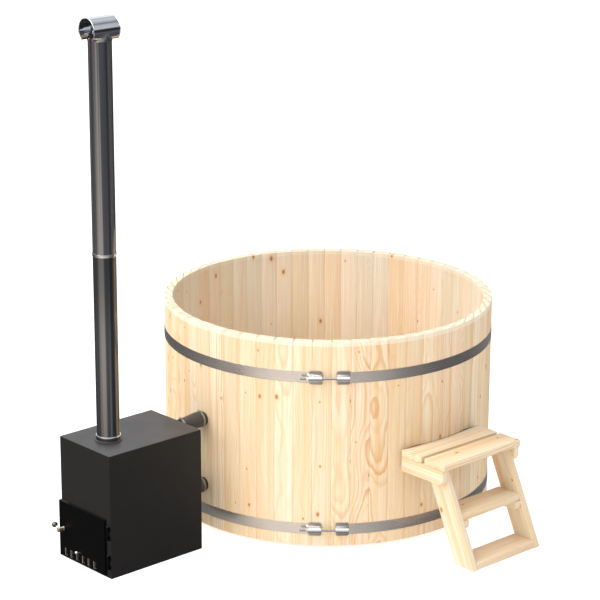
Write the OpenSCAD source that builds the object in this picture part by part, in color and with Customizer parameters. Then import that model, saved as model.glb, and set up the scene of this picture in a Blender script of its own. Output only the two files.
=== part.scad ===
// Wooden hot tub with an outside wood stove, its chimney and a set of lean-on steps.
// The frame stands on the ground at the centre of the tub: +Z is up, the stove lies
// along -X and the steps lie along -Y. All lengths are in millimetres.

/* [Tub wall] */
// Outside diameter of the tub
tub_d = 1600; // [1500:10:1900]
// Length of a stave
stave_l = 1000; // [960:10:1150]
// Thickness of a stave
stave_t = 42; // [36:1:48]
// Number of staves round the tub
stave_n = 56; // [52:4:64]
// Open joint between two staves
stave_joint = 0.3; // [0.2:0.1:0.8]
// Chamfer on the outer edge at both ends of a stave
stave_chamfer = 3; // [1:0.5:6]
// Height of the stave ends above the ground
stave_lift = 20; // [10:1:30]

/* [Tub floor] */
// Height of the three bearers, which stand on the ground
bearer_h = 75; // [66:1:95]
// Width of a bearer
bearer_w = 70; // [50:1:90]
// Distance between the middles of two bearers
bearer_pitch = 450; // [380:10:500]
// Thickness of the floor boards
floor_t = 42; // [34:1:48]
// Number of floor boards
floor_n = 14; // [12:2:18]
// Depth of the groove in the staves that takes the floor
croze_depth = 12; // [6:1:15]

/* [Bench] */
// Height of the bench top above the ground
bench_top_z = 430; // [380:5:450]
// Thickness of a bench board
bench_t = 28; // [22:1:36]
// Width of a bench board
bench_w = 250; // [200:10:300]
// Thickness of a bench leg panel
bench_leg_t = 34; // [28:1:45]

/* [Hoops] */
// Width of a hoop band
band_w = 52; // [40:1:60]
// Thickness of a hoop band
band_t = 1.5; // [1:0.1:3]
// Distance from the rim down to the middle of the upper band
upper_band_drop = 170; // [130:5:200]
// Distance from the staves' lower ends up to the middle of the lower band
lower_band_rise = 84; // [70:1:120]
// Direction of the hoop clamps, in degrees from +X
clamp_angle = -132.5; // [-140:0.5:-125]
// Gap between the ends of a band, at the clamp
clamp_gap = 66; // [50:1:90]
// Length of a clamp plate along the band
lug_l = 62; // [50:1:80]
// Height of a clamp plate
lug_h = 64; // [56:1:80]
// Thickness of a clamp plate
lug_t = 3; // [2:0.5:5]
// Outside diameter of the barrel on a clamp plate
barrel_d = 24; // [20:1:30]
// Diameter of the tension bolt
bolt_d = 10; // [8:1:12]
// Length of bolt that stands out past the clamp
bolt_free = 40; // [20:1:60]
// Size of the nut across its flats
nut_af = 17; // [15:1:22]

/* [Water pipes] */
// Height of the hot pipe above the ground
hot_z = 558; // [540:1:575]
// Height of the cold pipe above the ground
cold_z = 228; // [190:1:280]
// Radius of the water way in the fittings
way_r = 20; // [16:0.5:21]
// Thickness of the thread tube through the wall
thread_wall = 5; // [4:0.5:6]
// Radius of the flange against the wall
flange_r = 32; // [30:0.5:36]
// Thickness of the flange
flange_t = 8; // [5:0.5:10]
// Thickness of the rubber ring behind the flange
gasket_t = 3; // [2:0.5:5]
// Outside radius of the wide end of the rubber reducer
boot_wide_r = 37; // [35:0.5:42]
// Outside radius of the narrow end of the rubber reducer
boot_narrow_r = 28; // [27.5:0.5:30]
// Wall of the rubber reducer
boot_wall = 4; // [3:0.5:4.5]
// Width of a hose clamp band
hose_clamp_w = 11; // [8:0.5:14]

/* [Stove] */
// Gap between the tub wall and the back of the stove
stove_gap = 170; // [160:1:200]
// Width of the stove
stove_w = 366; // [360:1:420]
// Depth of the stove
stove_d = 535; // [520:5:600]
// Height of the stove
stove_h = 592; // [585:1:640]
// Thickness of the casing sheet
casing_t = 3; // [2:0.5:5]
// Width of the water jacket between the casing and the firebox
jacket_gap = 37; // [30:1:40]
// Height of the firebox floor above the ground
firebox_z = 20; // [15:1:26]
// Height of the top of the firebox above the ground
firebox_top_z = 430; // [410:5:480]
// Thickness of the firebox sheet
firebox_t = 4; // [3:0.5:6]
// Height of the grate above the ground
grate_z = 72; // [66:1:80]
// Height of the smoke shelf above the ground
shelf_z = 330; // [300:5:370]

/* [Fire door] */
// Width of the door
door_w = 339; // [335:1:340]
// Height of the door
door_h = 272; // [268:1:290]
// Height of the door's lower edge above the ground
door_z = 12; // [9:0.5:14]
// Thickness of the door
door_t = 14; // [13:0.5:18]
// Gap between the door and the stove
door_gap = 2; // [1.5:0.1:3]
// Thickness of the door sheet
door_sheet = 3; // [2:0.5:4]
// Number of air slots
slot_n = 6; // [4:1:6]
// Distance between the middles of two air slots
slot_pitch = 43; // [38:0.5:43]
// Width of an air slot
slot_w = 20; // [14:0.5:21]
// Height of an air slot
slot_h = 38; // [30:1:38]
// Diameter of the ball on the door handle
ball_d = 28; // [22:1:32]
// Distance from the handle's axis to the middle of its ball
lever_l = 38; // [34:1:48]

/* [Chimney] */
// Outside diameter of the chimney pipe
pipe_d = 106; // [100:1:110]
// Wall of the chimney pipe
pipe_wall = 1; // [0.8:0.1:2]
// Distance from the stove's front to the chimney's axis
flue_back = 139; // [125:1:160]
// Height of the joint between the two pipes above the ground
joint_z = 1470; // [1300:10:1600]
// Height of the top of the upper pipe above the ground
pipe_top_z = 2442; // [2300:2:2600]
// Outside diameter of the cross tube of the cap
cap_d = 112; // [110:1:120]
// Length of the cross tube of the cap
cap_l = 145; // [140:1:200]

/* [Steps] */
// Height of the platform above the ground
platform_z = 480; // [460:5:520]
// Length of a platform board
platform_l = 514; // [480:2:560]
// Width of a platform board
platform_w = 128; // [110:1:140]
// Gap between the two platform boards
platform_gap = 20; // [8:1:24]
// Thickness of all boards of the steps
board_t = 32; // [28:1:35]
// Depth by which the back board laps over the round of the tub
platform_lap = 20; // [14:1:24]
// Width of a stringer, square to its slope
stringer_w = 108; // [96:1:126]
// Lean of the stringers from upright, in degrees
stringer_lean = 25; // [22:0.5:27]
// Distance from the tub's wall to the front of the stringers' feet
foot_reach = 428; // [400:1:460]
// Height of the top of the tread above the ground
tread_z = 242; // [225:1:260]
// Width of the tread and of the foot board
tread_w = 136; // [120:1:142]
// Height of the rails under the platform
rail_h = 72; // [60:1:84]
// Radius of the rounded lower end of the rails
rail_round = 30; // [15:1:40]

/* [Hidden] */
$fn = 96;

// Shared clearances and the overrun of every cut
seat = 0.3;
fit = 0.05;
over = 1;

// Tub
tub_r = tub_d / 2;
inner_r = tub_r - stave_t;
rim_z = stave_lift + stave_l;
stave_a = 360 / stave_n;
pipe_stave_i = stave_n / 2;
floor_z = bearer_h + floor_t;
floor_r = inner_r + croze_depth - seat;
floor_w = 2 * floor_r / floor_n;
bearer_room = 12;
bearer_r = inner_r - bearer_room;
bearer_steps = [-1, 0, 1];

// Floor drain, in the middle of a board and between two bearers
drain_x = floor_w / 2;
drain_y = bearer_pitch / 2;
drain_bore_r = 26;
drain_tube_r = drain_bore_r - seat;
drain_way_r = 20;
drain_flange_r = 40;
drain_flange_t = 4;
drain_nut_r = 38;
drain_nut_t = 12;
drain_thread_end = 2;
hose_tail_r = 24;
hose_tail_l = 28;
plug_head_r = 25;
plug_head_t = 7;
plug_depth = 22;
plug_ring_r = 12;
plug_bar_r = 2.5;

// Bench, a ring of six boards on six leg panels
bench_sides = 6;
bench_room = 8;
bench_corner_r = inner_r - bench_room;
bench_out = bench_corner_r * cos(180 / bench_sides);
bench_in = bench_out - bench_w;
bench_joint = 3;
bench_leg_in = (bench_in + bench_joint) / cos(180 / bench_sides);
bench_leg_inset = 30;

// Hoops
upper_band_z = rim_z - upper_band_drop;
lower_band_z = stave_lift + lower_band_rise;
band_r = tub_r + seat;
lug_r = band_r + band_t + seat;
lug_out_r = lug_r + lug_t;
bolt_r = lug_out_r + barrel_d / 2;
lug_near = clamp_gap / 2;
lug_far = lug_near + lug_l;
lug_web_w = 12;
washer_r = 11;
washer_t = 2;
nut_t = 9;
bolt_in_lug = 44;
hex_sides = 6;

// Water pipes: places are distances from the tub's axis, along the pipe
bore_r = way_r + thread_wall + seat;
gasket_s = tub_r + seat;
flange_s = gasket_s + gasket_t;
neck_s = flange_s + flange_t;
neck_l = 7;
neck_step = 4;
neck_r = flange_r - neck_step;
tail_s = neck_s + neck_l;
tail_l = 30;
tail_r = boot_wide_r - boot_wall - seat;
wide_l = 31;
cone_l = 76;
narrow_l = 18;
boot_s = tail_s;
cone_s = boot_s + wide_l;
narrow_s = cone_s + cone_l;
boot_end = narrow_s + narrow_l;
stub_r = boot_narrow_r - boot_wall - seat;
stub_overlap = 12;
thread_in = 28;
inner_nut_t = 15;
inner_nut_r = 36;
nut_lobe_r = 4;
nut_lobes = 8;
stub_inside = 12;
stub_ring_r = 30;
stub_ring_t = 8;
clamp_t = 1.2;
screw_l = 15;
screw_r = 4;
screw_in = 3;

// Stove
stove_back_x = -(tub_r + stove_gap);
stove_front_x = stove_back_x - stove_d;
half_stove = stove_w / 2;
firebox_half = half_stove - casing_t - jacket_gap;
firebox_front_x = stove_front_x + casing_t;
firebox_back_x = stove_back_x - casing_t - jacket_gap;
ledge_w = 10;
ledge_t = 6;
mouth_inset = 6;
mouth_sill = 4;
mouth_head = 20;
mouth_half = firebox_half - mouth_inset;
mouth_low_z = firebox_z + firebox_t + mouth_sill;
mouth_top_z = door_z + door_h - mouth_head;
flue_x = stove_front_x + flue_back;
pipe_r = pipe_d / 2;
flue_tube_room = 1;
flue_tube_r = pipe_r - pipe_wall - flue_tube_room;
flue_tube_t = 3;
flue_tube_rise = 8;
grate_t = 10;
grate_bar = 12;
grate_open = 12;
grate_edge = 16;
grate_room = 3;
ash_room = 8;
ash_h = 26;
ash_t = 1.5;
shelf_t = 5;
shelf_back_gap = 90;

// Fire door
door_back_x = stove_front_x - door_gap;
door_front_x = door_back_x - door_t;
door_free_y = half_stove;
door_near_y = door_free_y - door_w;
door_rail_h = 66;
slot_inset = 48;
slot_sill = 8;
rail_top_z = door_z + door_rail_h;
slot_first_y = door_free_y - slot_inset;
slot_low_z = door_z + slot_sill;
slot_top_z = slot_low_z + slot_h;
slider_t = 2;
slider_travel = slot_pitch / 2;
slider_margin = 6;
slider_pocket_t = slider_t + 2 * seat;
slider_front_x = door_front_x + door_t - door_sheet - slider_pocket_t;
slider_lap = 4;
slider_h = 56;
slider_low_z = slot_low_z - slider_lap;
slider_top_z = slider_low_z + slider_h;
slider_end_y = slot_first_y + slot_w / 2 + slider_margin;
slider_near_y = slot_first_y - (slot_n - 1) * slot_pitch - slot_w / 2 - slider_margin;
knob_drop = 6;
knob_slots = 2;
knob_shift = 6;
knob_z = slider_top_z - knob_drop;
knob_y = slot_first_y - knob_slots * slot_pitch - knob_shift;
knob_stem_r = 3;
knob_r = 8;
knob_rise = 6;
knob_l = 10;
liner_t = 3;
liner_in = 8;
liner_room = 9;
liner_stud_r = 5;
liner_stud_inset = 22;
rope_w = 9;
hinge_stand = 8;
hinge_side = 12;
hinge_x = stove_front_x - hinge_stand;
hinge_y = door_near_y - hinge_side;
knuckle_r = 5.5;
pin_r = 2.5;
pin_head_r = 4.5;
pin_head_t = 2.5;
hinge_low = 66;
hinge_rise = 142;
hinge_z_list = [door_z + hinge_low, door_z + hinge_low + hinge_rise];
hinge_l = 66;
knuckle_gap = 0.5;
leaf_t = 2.5;
leaf_side = 26;
leaf_end_y = door_near_y - leaf_side;
handle_inset = 35;
handle_rise = 140;
handle_y = door_free_y - handle_inset;
handle_z = door_z + handle_rise;
boss_r = 10;
boss_l = 35;
spindle_r = 4;
stud_r = 4;
stud_l = 5;
lever_r = 4;
lever_rise = 25;
lever_stand = 27;
lever_x = door_front_x - lever_stand;
tongue_t = 3;
tongue_w = 11;
tongue_l = 26;
tongue_room = 1.3;
tongue_x = stove_front_x - tongue_t - tongue_room;
keeper_t = 2;
keeper_lip = 19;
keeper_half_h = 11;
keeper_side = 1.3;
keeper_room = 1;
keeper_foot_y = door_free_y - door_sheet - keeper_side;
keeper_lip_x = tongue_x - keeper_room;

// Chimney
collar_h = 20;
collar_t = 2.5;
ring_h = 7;
ring_t = 3.5;
spigot_l = 45;
spigot_room = 0.4;
band_h = 14;
joint_band_t = 1.6;
cap_wall = 1.5;
cap_r = cap_d / 2;
cap_rise = 34;
cap_z = pipe_top_z + cap_rise;
cap_cut = 42;
cap_lap = 14;
cap_socket_z = pipe_top_z - cap_lap;
cap_socket_t = 1.6;

// Steps
platform_back = tub_r - platform_lap;
foot_front = tub_r + foot_reach;
stringer_out = platform_l / 2 - board_t;
stringer_in = stringer_out - board_t;
stringer_foot = stringer_w / cos(stringer_lean);
stringer_run = tan(stringer_lean);
platform_under = platform_z - board_t;
platform_front = platform_back + 2 * platform_w + platform_gap;
rail_set = 8;
rail_front = platform_front - rail_set;
tread_nose = 6;
tread_front = foot_front - tread_z * stringer_run + tread_nose;
foot_board_set = 5;
foot_board_front = foot_front - foot_board_set;
tub_scribe = 0.3;
cleat_h = 42;
cleat_back = 24;
cleat_nose = 8;
cleat_round = 20;
screw_head_d = 10;
screw_head_t = 3;

// Helpers

// Turns +Z to point away from the tub towards the stove, at a height
module along_pipe(z) {
    translate([0, 0, z]) rotate([0, -90, 0]) children();
}

// A box between two corners
module span(a, b) {
    translate(a) cube(b - a);
}

// A plain tube standing on z
module tube(r_out, r_in, z, h) {
    translate([0, 0, z]) difference() {
        cylinder(r = r_out, h = h);
        translate([0, 0, -over]) cylinder(r = r_in, h = h + 2 * over);
    }
}

// Tub

// Outline of one stave in plan: flat inside, edges on the radial joints
module stave_plan() {
    edge = stave_joint / 2 / cos(stave_a / 2);
    slope = tan(stave_a / 2);
    far = tub_r + over;
    polygon([[inner_r, edge - inner_r * slope],
             [far, edge - far * slope],
             [far, far * slope - edge],
             [inner_r, inner_r * slope - edge]]);
}

// Ring that gives the staves their round outside and their end chamfers
module stave_round() {
    rotate_extrude($fn = 180) polygon([[0, stave_lift],
        [tub_r - stave_chamfer, stave_lift],
        [tub_r, stave_lift + stave_chamfer],
        [tub_r, rim_z - stave_chamfer],
        [tub_r - stave_chamfer, rim_z],
        [0, rim_z]]);
}

// Groove for the floor
module croze() {
    translate([0, 0, bearer_h - seat])
        cylinder(r = inner_r + croze_depth, h = floor_t + 2 * seat, $fn = 180);
}

// Stave number i, counted from +X
module stave(i) {
    difference() {
        intersection() {
            rotate([0, 0, i * stave_a]) translate([0, 0, stave_lift - over])
                linear_extrude(stave_l + 2 * over) stave_plan();
            stave_round();
        }
        croze();
    }
}

module staves_even() {
    color("#ecd3a6") for (i = [0 : 2 : stave_n - 1]) if (i != pipe_stave_i) stave(i);
}

module staves_odd() {
    color("#e3c392") for (i = [1 : 2 : stave_n - 1]) stave(i);
}

// The stave that faces the stove is bored for the two water pipes
module pipe_stave() {
    color("#ecd3a6") difference() {
        stave(pipe_stave_i);
        for (z = [hot_z, cold_z]) along_pipe(z)
            translate([0, 0, inner_r - over]) cylinder(r = bore_r, h = stave_t + 3 * over);
    }
}

// Floor board number i, counted from the stove's side. The boards lie along Y and
// are cut to a circle.
module floor_board(i) {
    x = i * floor_w - floor_r;
    intersection() {
        translate([0, 0, bearer_h]) cylinder(r = floor_r, h = floor_t, $fn = 180);
        span([x + stave_joint / 2, -tub_r, 0], [x + floor_w - stave_joint / 2, tub_r, floor_z + over]);
    }
}

module floor_boards() {
    color("#e0c08e") for (i = [0 : floor_n - 1]) if (i != floor_n / 2) floor_board(i);
}

// The board just past the middle is bored for the drain
module drain_board() {
    color("#e0c08e") difference() {
        floor_board(floor_n / 2);
        at_drain() cylinder(r = drain_bore_r, h = floor_z + over);
    }
}

module floor_bearers() {
    color("#c9a877") for (k = bearer_steps) {
        y = k * bearer_pitch;
        reach = abs(y) + bearer_w / 2;
        half = sqrt(bearer_r * bearer_r - reach * reach);
        span([-half, y - bearer_w / 2, 0], [half, y + bearer_w / 2, bearer_h]);
    }
}

// Bench

module bench_boards() {
    half = 180 / bench_sides;
    gap = bench_joint / 2 / cos(half);
    color("#e6c898") for (i = [0 : bench_sides - 1])
        rotate([0, 0, i * 2 * half]) translate([0, 0, bench_top_z - bench_t])
            linear_extrude(bench_t)
                polygon([[bench_in, gap - bench_in * tan(half)],
                         [bench_out, gap - bench_out * tan(half)],
                         [bench_out, bench_out * tan(half) - gap],
                         [bench_in, bench_in * tan(half) - gap]]);
}

module bench_legs() {
    color("#d9b988") for (i = [0 : bench_sides - 1])
        rotate([0, 0, (2 * i + 1) * 180 / bench_sides])
            span([bench_leg_in, -bench_leg_t / 2, floor_z],
                 [bench_corner_r - bench_leg_inset, bench_leg_t / 2, bench_top_z - bench_t]);
}

// Hoops and their clamps. The clamp is drawn on +X and turned to its place.

module hoop(z) {
    difference() {
        tube(band_r + band_t, band_r, z - band_w / 2, band_w, $fn = 180);
        rotate([0, 0, clamp_angle])
            span([tub_r / 2, -lug_near, z - band_w], [tub_r * 2, lug_near, z + band_w]);
    }
}

module upper_hoop() {
    color("#8d8f92") hoop(upper_band_z);
}

module lower_hoop() {
    color("#8d8f92") hoop(lower_band_z);
}

// One plate with its barrel, on the side that the sign gives
module clamp_plate(side) {
    y0 = side > 0 ? lug_near : -lug_far;
    difference() {
        union() {
            intersection() {
                tube(lug_out_r, lug_r, -lug_h / 2, lug_h, $fn = 180);
                span([tub_r / 2, y0, -lug_h], [tub_r * 2, y0 + lug_l, lug_h]);
            }
            span([lug_out_r - lug_t - lug_near * lug_near / tub_r, y0, -lug_web_w / 2],
                 [bolt_r, y0 + lug_l, lug_web_w / 2]);
            translate([bolt_r, y0, 0]) rotate([-90, 0, 0]) cylinder(r = barrel_d / 2, h = lug_l);
        }
        translate([0, 0, -lug_h]) cylinder(r = lug_r, h = 2 * lug_h, $fn = 180);
        translate([bolt_r, y0 - over, 0]) rotate([-90, 0, 0])
            cylinder(r = bolt_d / 2 + fit, h = lug_l + 2 * over);
    }
}

module clamp_plates(z) {
    translate([0, 0, z]) rotate([0, 0, clamp_angle]) for (side = [-1, 1]) clamp_plate(side);
}

module upper_clamp_plates() {
    color("#c3c4c6") clamp_plates(upper_band_z);
}

module lower_clamp_plates() {
    color("#c3c4c6") clamp_plates(lower_band_z);
}

// Places what sits on a bolt, with +Z along it, from the end of the left plate
module at_bolts() {
    for (z = [upper_band_z, lower_band_z])
        rotate([0, 0, clamp_angle]) translate([bolt_r, -lug_far, z]) rotate([-90, 0, 0]) children();
}

module tension_bolts() {
    color("#b4b6b9") at_bolts() translate([0, 0, -bolt_free])
        cylinder(r = bolt_d / 2, h = bolt_free + lug_l + clamp_gap + bolt_in_lug);
}

module tension_nuts() {
    color("#b4b6b9") at_bolts() difference() {
        union() {
            translate([0, 0, -washer_t]) cylinder(r = washer_r, h = washer_t);
            translate([0, 0, -washer_t - nut_t])
                cylinder(r = nut_af / 2 / cos(180 / hex_sides), h = nut_t, $fn = hex_sides);
        }
        translate([0, 0, -washer_t - nut_t - over])
            cylinder(r = bolt_d / 2 + fit, h = washer_t + nut_t + 2 * over);
    }
}

// Floor drain

module at_drain() {
    translate([drain_x, drain_y, 0]) children();
}

// Flange on the floor, threaded tube through it and a tail for a drain hose
module drain_flange() {
    thread_z = bearer_h - drain_nut_t - drain_thread_end;
    tail_z = thread_z - hose_tail_l;
    top = floor_z + drain_flange_t;
    color("#b9bbbd") at_drain() difference() {
        union() {
            translate([0, 0, floor_z]) cylinder(r = drain_flange_r, h = drain_flange_t);
            translate([0, 0, thread_z]) cylinder(r = drain_tube_r, h = floor_z + over - thread_z);
            translate([0, 0, tail_z]) cylinder(r = hose_tail_r, h = thread_z + over - tail_z);
        }
        translate([0, 0, tail_z - over]) cylinder(r = drain_way_r, h = top - tail_z + 2 * over);
    }
}

module drain_nut() {
    color("#a9abad") at_drain() tube(drain_nut_r, drain_tube_r + fit, bearer_h - drain_nut_t, drain_nut_t);
}

module drain_plug() {
    top = floor_z + drain_flange_t;
    color("#2c2c2c") at_drain() {
        translate([0, 0, top - plug_depth]) cylinder(r = drain_way_r - fit, h = plug_depth);
        translate([0, 0, top]) cylinder(r = plug_head_r, h = plug_head_t);
        translate([0, 0, top + plug_head_t + plug_ring_r]) rotate([90, 0, 0])
            rotate_extrude($fn = 48) translate([plug_ring_r, 0]) circle(r = plug_bar_r, $fn = 24);
    }
}

// Water pipes

// Threaded tube through the wall with its flange, neck and hose tail
module wall_fitting(z) {
    along_pipe(z) difference() {
        union() {
            translate([0, 0, inner_r - thread_in])
                cylinder(r = way_r + thread_wall, h = flange_s - inner_r + thread_in);
            translate([0, 0, flange_s]) cylinder(r = flange_r, h = flange_t);
            translate([0, 0, neck_s]) cylinder(r = neck_r, h = neck_l);
            translate([0, 0, tail_s]) cylinder(r = tail_r, h = tail_l);
        }
        translate([0, 0, inner_r - thread_in - over])
            cylinder(r = way_r, h = tail_s + tail_l - inner_r + thread_in + 2 * over);
    }
}

module hot_fitting() {
    color("#55565a") wall_fitting(hot_z);
}

module cold_fitting() {
    color("#55565a") wall_fitting(cold_z);
}

module wall_gaskets() {
    color("#222222") for (z = [hot_z, cold_z])
        along_pipe(z) tube(flange_r - over, way_r + thread_wall + fit, gasket_s, gasket_t);
}

// Ring nuts inside the tub, with finger lobes
module inner_nuts() {
    color("#3d3e42") for (z = [hot_z, cold_z])
        along_pipe(z) translate([0, 0, inner_r - inner_nut_t]) difference() {
            union() {
                cylinder(r = inner_nut_r, h = inner_nut_t);
                for (k = [0 : nut_lobes - 1]) rotate([0, 0, k * 360 / nut_lobes])
                    translate([inner_nut_r, 0, 0]) cylinder(r = nut_lobe_r, h = inner_nut_t - nut_lobe_r);
            }
            translate([0, 0, -over])
                cylinder(r = way_r + thread_wall + fit, h = inner_nut_t + 2 * over);
        }
}

// Rubber reducer from the wall fitting to the stove's stub
module reducer(z) {
    wide_in = boot_wide_r - boot_wall;
    narrow_in = boot_narrow_r - boot_wall;
    color("#3a3a3c") along_pipe(z) rotate_extrude() polygon([
        [wide_in, boot_s], [boot_wide_r, boot_s], [boot_wide_r, cone_s],
        [boot_narrow_r, narrow_s], [boot_narrow_r, boot_end], [narrow_in, boot_end],
        [narrow_in, narrow_s], [wide_in, cone_s]]);
}

module hot_reducer() {
    reducer(hot_z);
}

module cold_reducer() {
    reducer(cold_z);
}

// Band of a hose clamp with its screw housing
module hose_clamp(r) {
    difference() {
        union() {
            cylinder(r = r + clamp_t, h = hose_clamp_w);
            translate([r + screw_r - screw_in + clamp_t, -screw_l / 2, hose_clamp_w / 2]) rotate([-90, 0, 0])
                cylinder(r = screw_r, h = screw_l);
        }
        translate([0, 0, -over]) cylinder(r = r, h = hose_clamp_w + 2 * over);
    }
}

module hose_clamps() {
    color("#c9cacc") for (z = [hot_z, cold_z]) along_pipe(z) {
        translate([0, 0, boot_s + seat]) hose_clamp(boot_wide_r + seat);
        translate([0, 0, boot_end - hose_clamp_w - seat]) hose_clamp(boot_narrow_r + seat);
    }
}

// Pipe stub on the back of the stove, through its casing
module stove_stub(z) {
    stub_s = boot_end - narrow_l - stub_overlap;
    stub_end = -stove_back_x + casing_t + stub_inside;
    color("#39393b") along_pipe(z) difference() {
        union() {
            translate([0, 0, stub_s]) cylinder(r = stub_r, h = stub_end - stub_s);
            translate([0, 0, -stove_back_x - stub_ring_t]) cylinder(r = stub_ring_r, h = stub_ring_t);
        }
        translate([0, 0, stub_s - over]) cylinder(r = way_r, h = stub_end - stub_s + 2 * over);
    }
}

module hot_stub() {
    stove_stub(hot_z);
}

module cold_stub() {
    stove_stub(cold_z);
}

// Stove

module stove_casing() {
    color("#242325") difference() {
        span([stove_front_x, -half_stove, 0], [stove_back_x, half_stove, stove_h]);
        span([stove_front_x + casing_t, casing_t - half_stove, casing_t],
             [stove_back_x - casing_t, half_stove - casing_t, stove_h - casing_t]);
        span([stove_front_x - over, -mouth_half, mouth_low_z],
             [stove_front_x + casing_t + over, mouth_half, mouth_top_z]);
        translate([flue_x, 0, stove_h - casing_t - over])
            cylinder(r = flue_tube_r + fit, h = casing_t + 2 * over);
        for (z = [hot_z, cold_z]) along_pipe(z)
            translate([0, 0, -stove_back_x - over]) cylinder(r = stub_r + fit, h = casing_t + 2 * over);
    }
}

// Ledges along both sides of the firebox, with their tops at a height
module ledges(top_z) {
    for (side = [-1, 1])
        translate([0, side > 0 ? firebox_half - firebox_t - ledge_w : firebox_t - firebox_half, 0])
            span([firebox_front_x, 0, top_z - ledge_t], [firebox_back_x - over, ledge_w, top_z]);
}

module firebox() {
    color("#3a3532") {
        difference() {
            span([firebox_front_x, -firebox_half, firebox_z], [firebox_back_x, firebox_half, firebox_top_z]);
            span([firebox_front_x - over, firebox_t - firebox_half, firebox_z + firebox_t],
                 [firebox_back_x - firebox_t, firebox_half - firebox_t, firebox_top_z - firebox_t]);
            translate([flue_x, 0, firebox_top_z - firebox_t - over])
                cylinder(r = flue_tube_r - flue_tube_t, h = firebox_t + 2 * over);
        }
        ledges(grate_z - grate_t);
        ledges(shelf_z - shelf_t);
    }
}

// Shelf that sends the smoke round by the back of the firebox
module smoke_shelf() {
    half = firebox_half - firebox_t - seat;
    color("#2e2b29") span([firebox_front_x + seat, -half, shelf_z - shelf_t],
                          [firebox_back_x - firebox_t - shelf_back_gap, half, shelf_z]);
}

module grate() {
    half = firebox_half - firebox_t - grate_room;
    front = firebox_front_x + grate_room;
    back = firebox_back_x - firebox_t - grate_room;
    room = back - front - 2 * grate_edge;
    n = floor((room + grate_bar) / (grate_bar + grate_open));
    step = (room + grate_bar) / n;
    color("#2b2a2b") difference() {
        span([front, -half, grate_z - grate_t], [back, half, grate_z]);
        for (i = [0 : n - 1])
            span([front + grate_edge + i * step, grate_edge - half, grate_z - grate_t - over],
                 [front + grate_edge + (i + 1) * step - grate_bar, half - grate_edge, grate_z + over]);
    }
}

module ash_pan() {
    half = firebox_half - firebox_t - ash_room;
    front = firebox_front_x + ash_room;
    back = firebox_back_x - firebox_t - ash_room;
    low = firebox_z + firebox_t;
    color("#4a4a4c") difference() {
        span([front, -half, low], [back, half, low + ash_h]);
        span([front + ash_t, ash_t - half, low + ash_t], [back - ash_t, half - ash_t, low + ash_h + over]);
    }
}

// Smoke tube from the firebox up through the water jacket
module flue_tube() {
    color("#2e2b29") translate([flue_x, 0, 0])
        tube(flue_tube_r, flue_tube_r - flue_tube_t, firebox_top_z,
             stove_h + flue_tube_rise - firebox_top_z);
}

module flue_collar() {
    color("#242325") translate([flue_x, 0, 0])
        tube(pipe_r + seat + collar_t, pipe_r + seat, stove_h, collar_h);
}

// Fire door. The sheet is a tray; the rail across its foot holds the air slots.

module air_slots(x0, x1, shift) {
    for (i = [0 : slot_n - 1]) {
        y = slot_first_y - i * slot_pitch - shift;
        span([x0, y - slot_w / 2, slot_low_z], [x1, y + slot_w / 2, slot_top_z]);
    }
}

module fire_door() {
    color("#1d1c1e") difference() {
        span([door_front_x, door_near_y, door_z], [door_back_x, door_free_y, door_z + door_h]);
        span([door_front_x + door_sheet, door_near_y + door_sheet, rail_top_z],
             [door_back_x + over, door_free_y - door_sheet, door_z + door_h - door_sheet]);
        air_slots(door_front_x - over, door_back_x + over, 0);
        span([slider_front_x, slider_near_y - slider_travel - seat, slider_low_z - seat],
             [slider_front_x + slider_pocket_t, slider_end_y + seat, slider_top_z + seat]);
        span([door_front_x - over, knob_y - slider_travel - knob_stem_r - seat, knob_z - knob_stem_r - seat],
             [slider_front_x + seat, knob_y + knob_stem_r + seat, knob_z + knob_stem_r + seat]);
        translate([door_front_x - over, handle_y, handle_z]) rotate([0, 90, 0])
            cylinder(r = spindle_r + fit, h = door_sheet + 2 * over);
    }
}

// Sheet that keeps the fire off the door, on four studs
module door_liner() {
    x0 = stove_front_x + liner_in;
    half = mouth_half - liner_room;
    low = rail_top_z + liner_room;
    top = mouth_top_z - liner_room;
    color("#4b4846") {
        span([x0, -half, low], [x0 + liner_t, half - liner_stud_inset, top]);
        for (y = [liner_stud_inset - half, half - 2 * liner_stud_inset],
             z = [low + liner_stud_inset, top - liner_stud_inset])
            translate([door_front_x + door_sheet, y, z]) rotate([0, 90, 0])
                cylinder(r = liner_stud_r, h = x0 - door_front_x - door_sheet);
    }
}

// Fire rope in the door's tray, round the mouth
module door_rope() {
    x0 = door_front_x + door_sheet;
    x1 = stove_front_x - seat;
    y0 = -mouth_half - rope_w;
    y1 = mouth_half - liner_stud_inset + rope_w;
    color("#8f8b84") difference() {
        span([x0, y0, rail_top_z + seat], [x1, y1, mouth_top_z + rope_w]);
        span([x0 - over, y0 + rope_w, rail_top_z + seat + rope_w], [x1 + over, y1 - rope_w, mouth_top_z]);
    }
}

module air_slider() {
    x0 = slider_front_x + seat;
    color("#6f6e70") difference() {
        span([x0, slider_near_y, slider_low_z], [x0 + slider_t, slider_end_y, slider_top_z]);
        air_slots(x0 - over, x0 + slider_t + over, 0);
    }
}

module air_knob() {
    color("#d6d7d9") translate([0, knob_y, knob_z]) rotate([0, -90, 0]) {
        translate([0, 0, -slider_front_x - seat])
            cylinder(r = knob_stem_r, h = slider_front_x + seat - door_front_x + knob_rise);
        translate([0, 0, -door_front_x + knob_rise]) cylinder(r = knob_r, h = knob_l - knob_r / 2);
        translate([0, 0, -door_front_x + knob_rise + knob_l - knob_r / 2]) difference() {
            sphere(r = knob_r, $fn = 48);
            translate([0, 0, -2 * knob_r]) cylinder(r = 2 * knob_r, h = 2 * knob_r);
        }
    }
}

// Hinges: three knuckles each, the outer two on the stove and the middle one on the door

module knuckle(z0, z1) {
    translate([hinge_x, hinge_y, z0]) cylinder(r = knuckle_r, h = z1 - z0);
}

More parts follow.
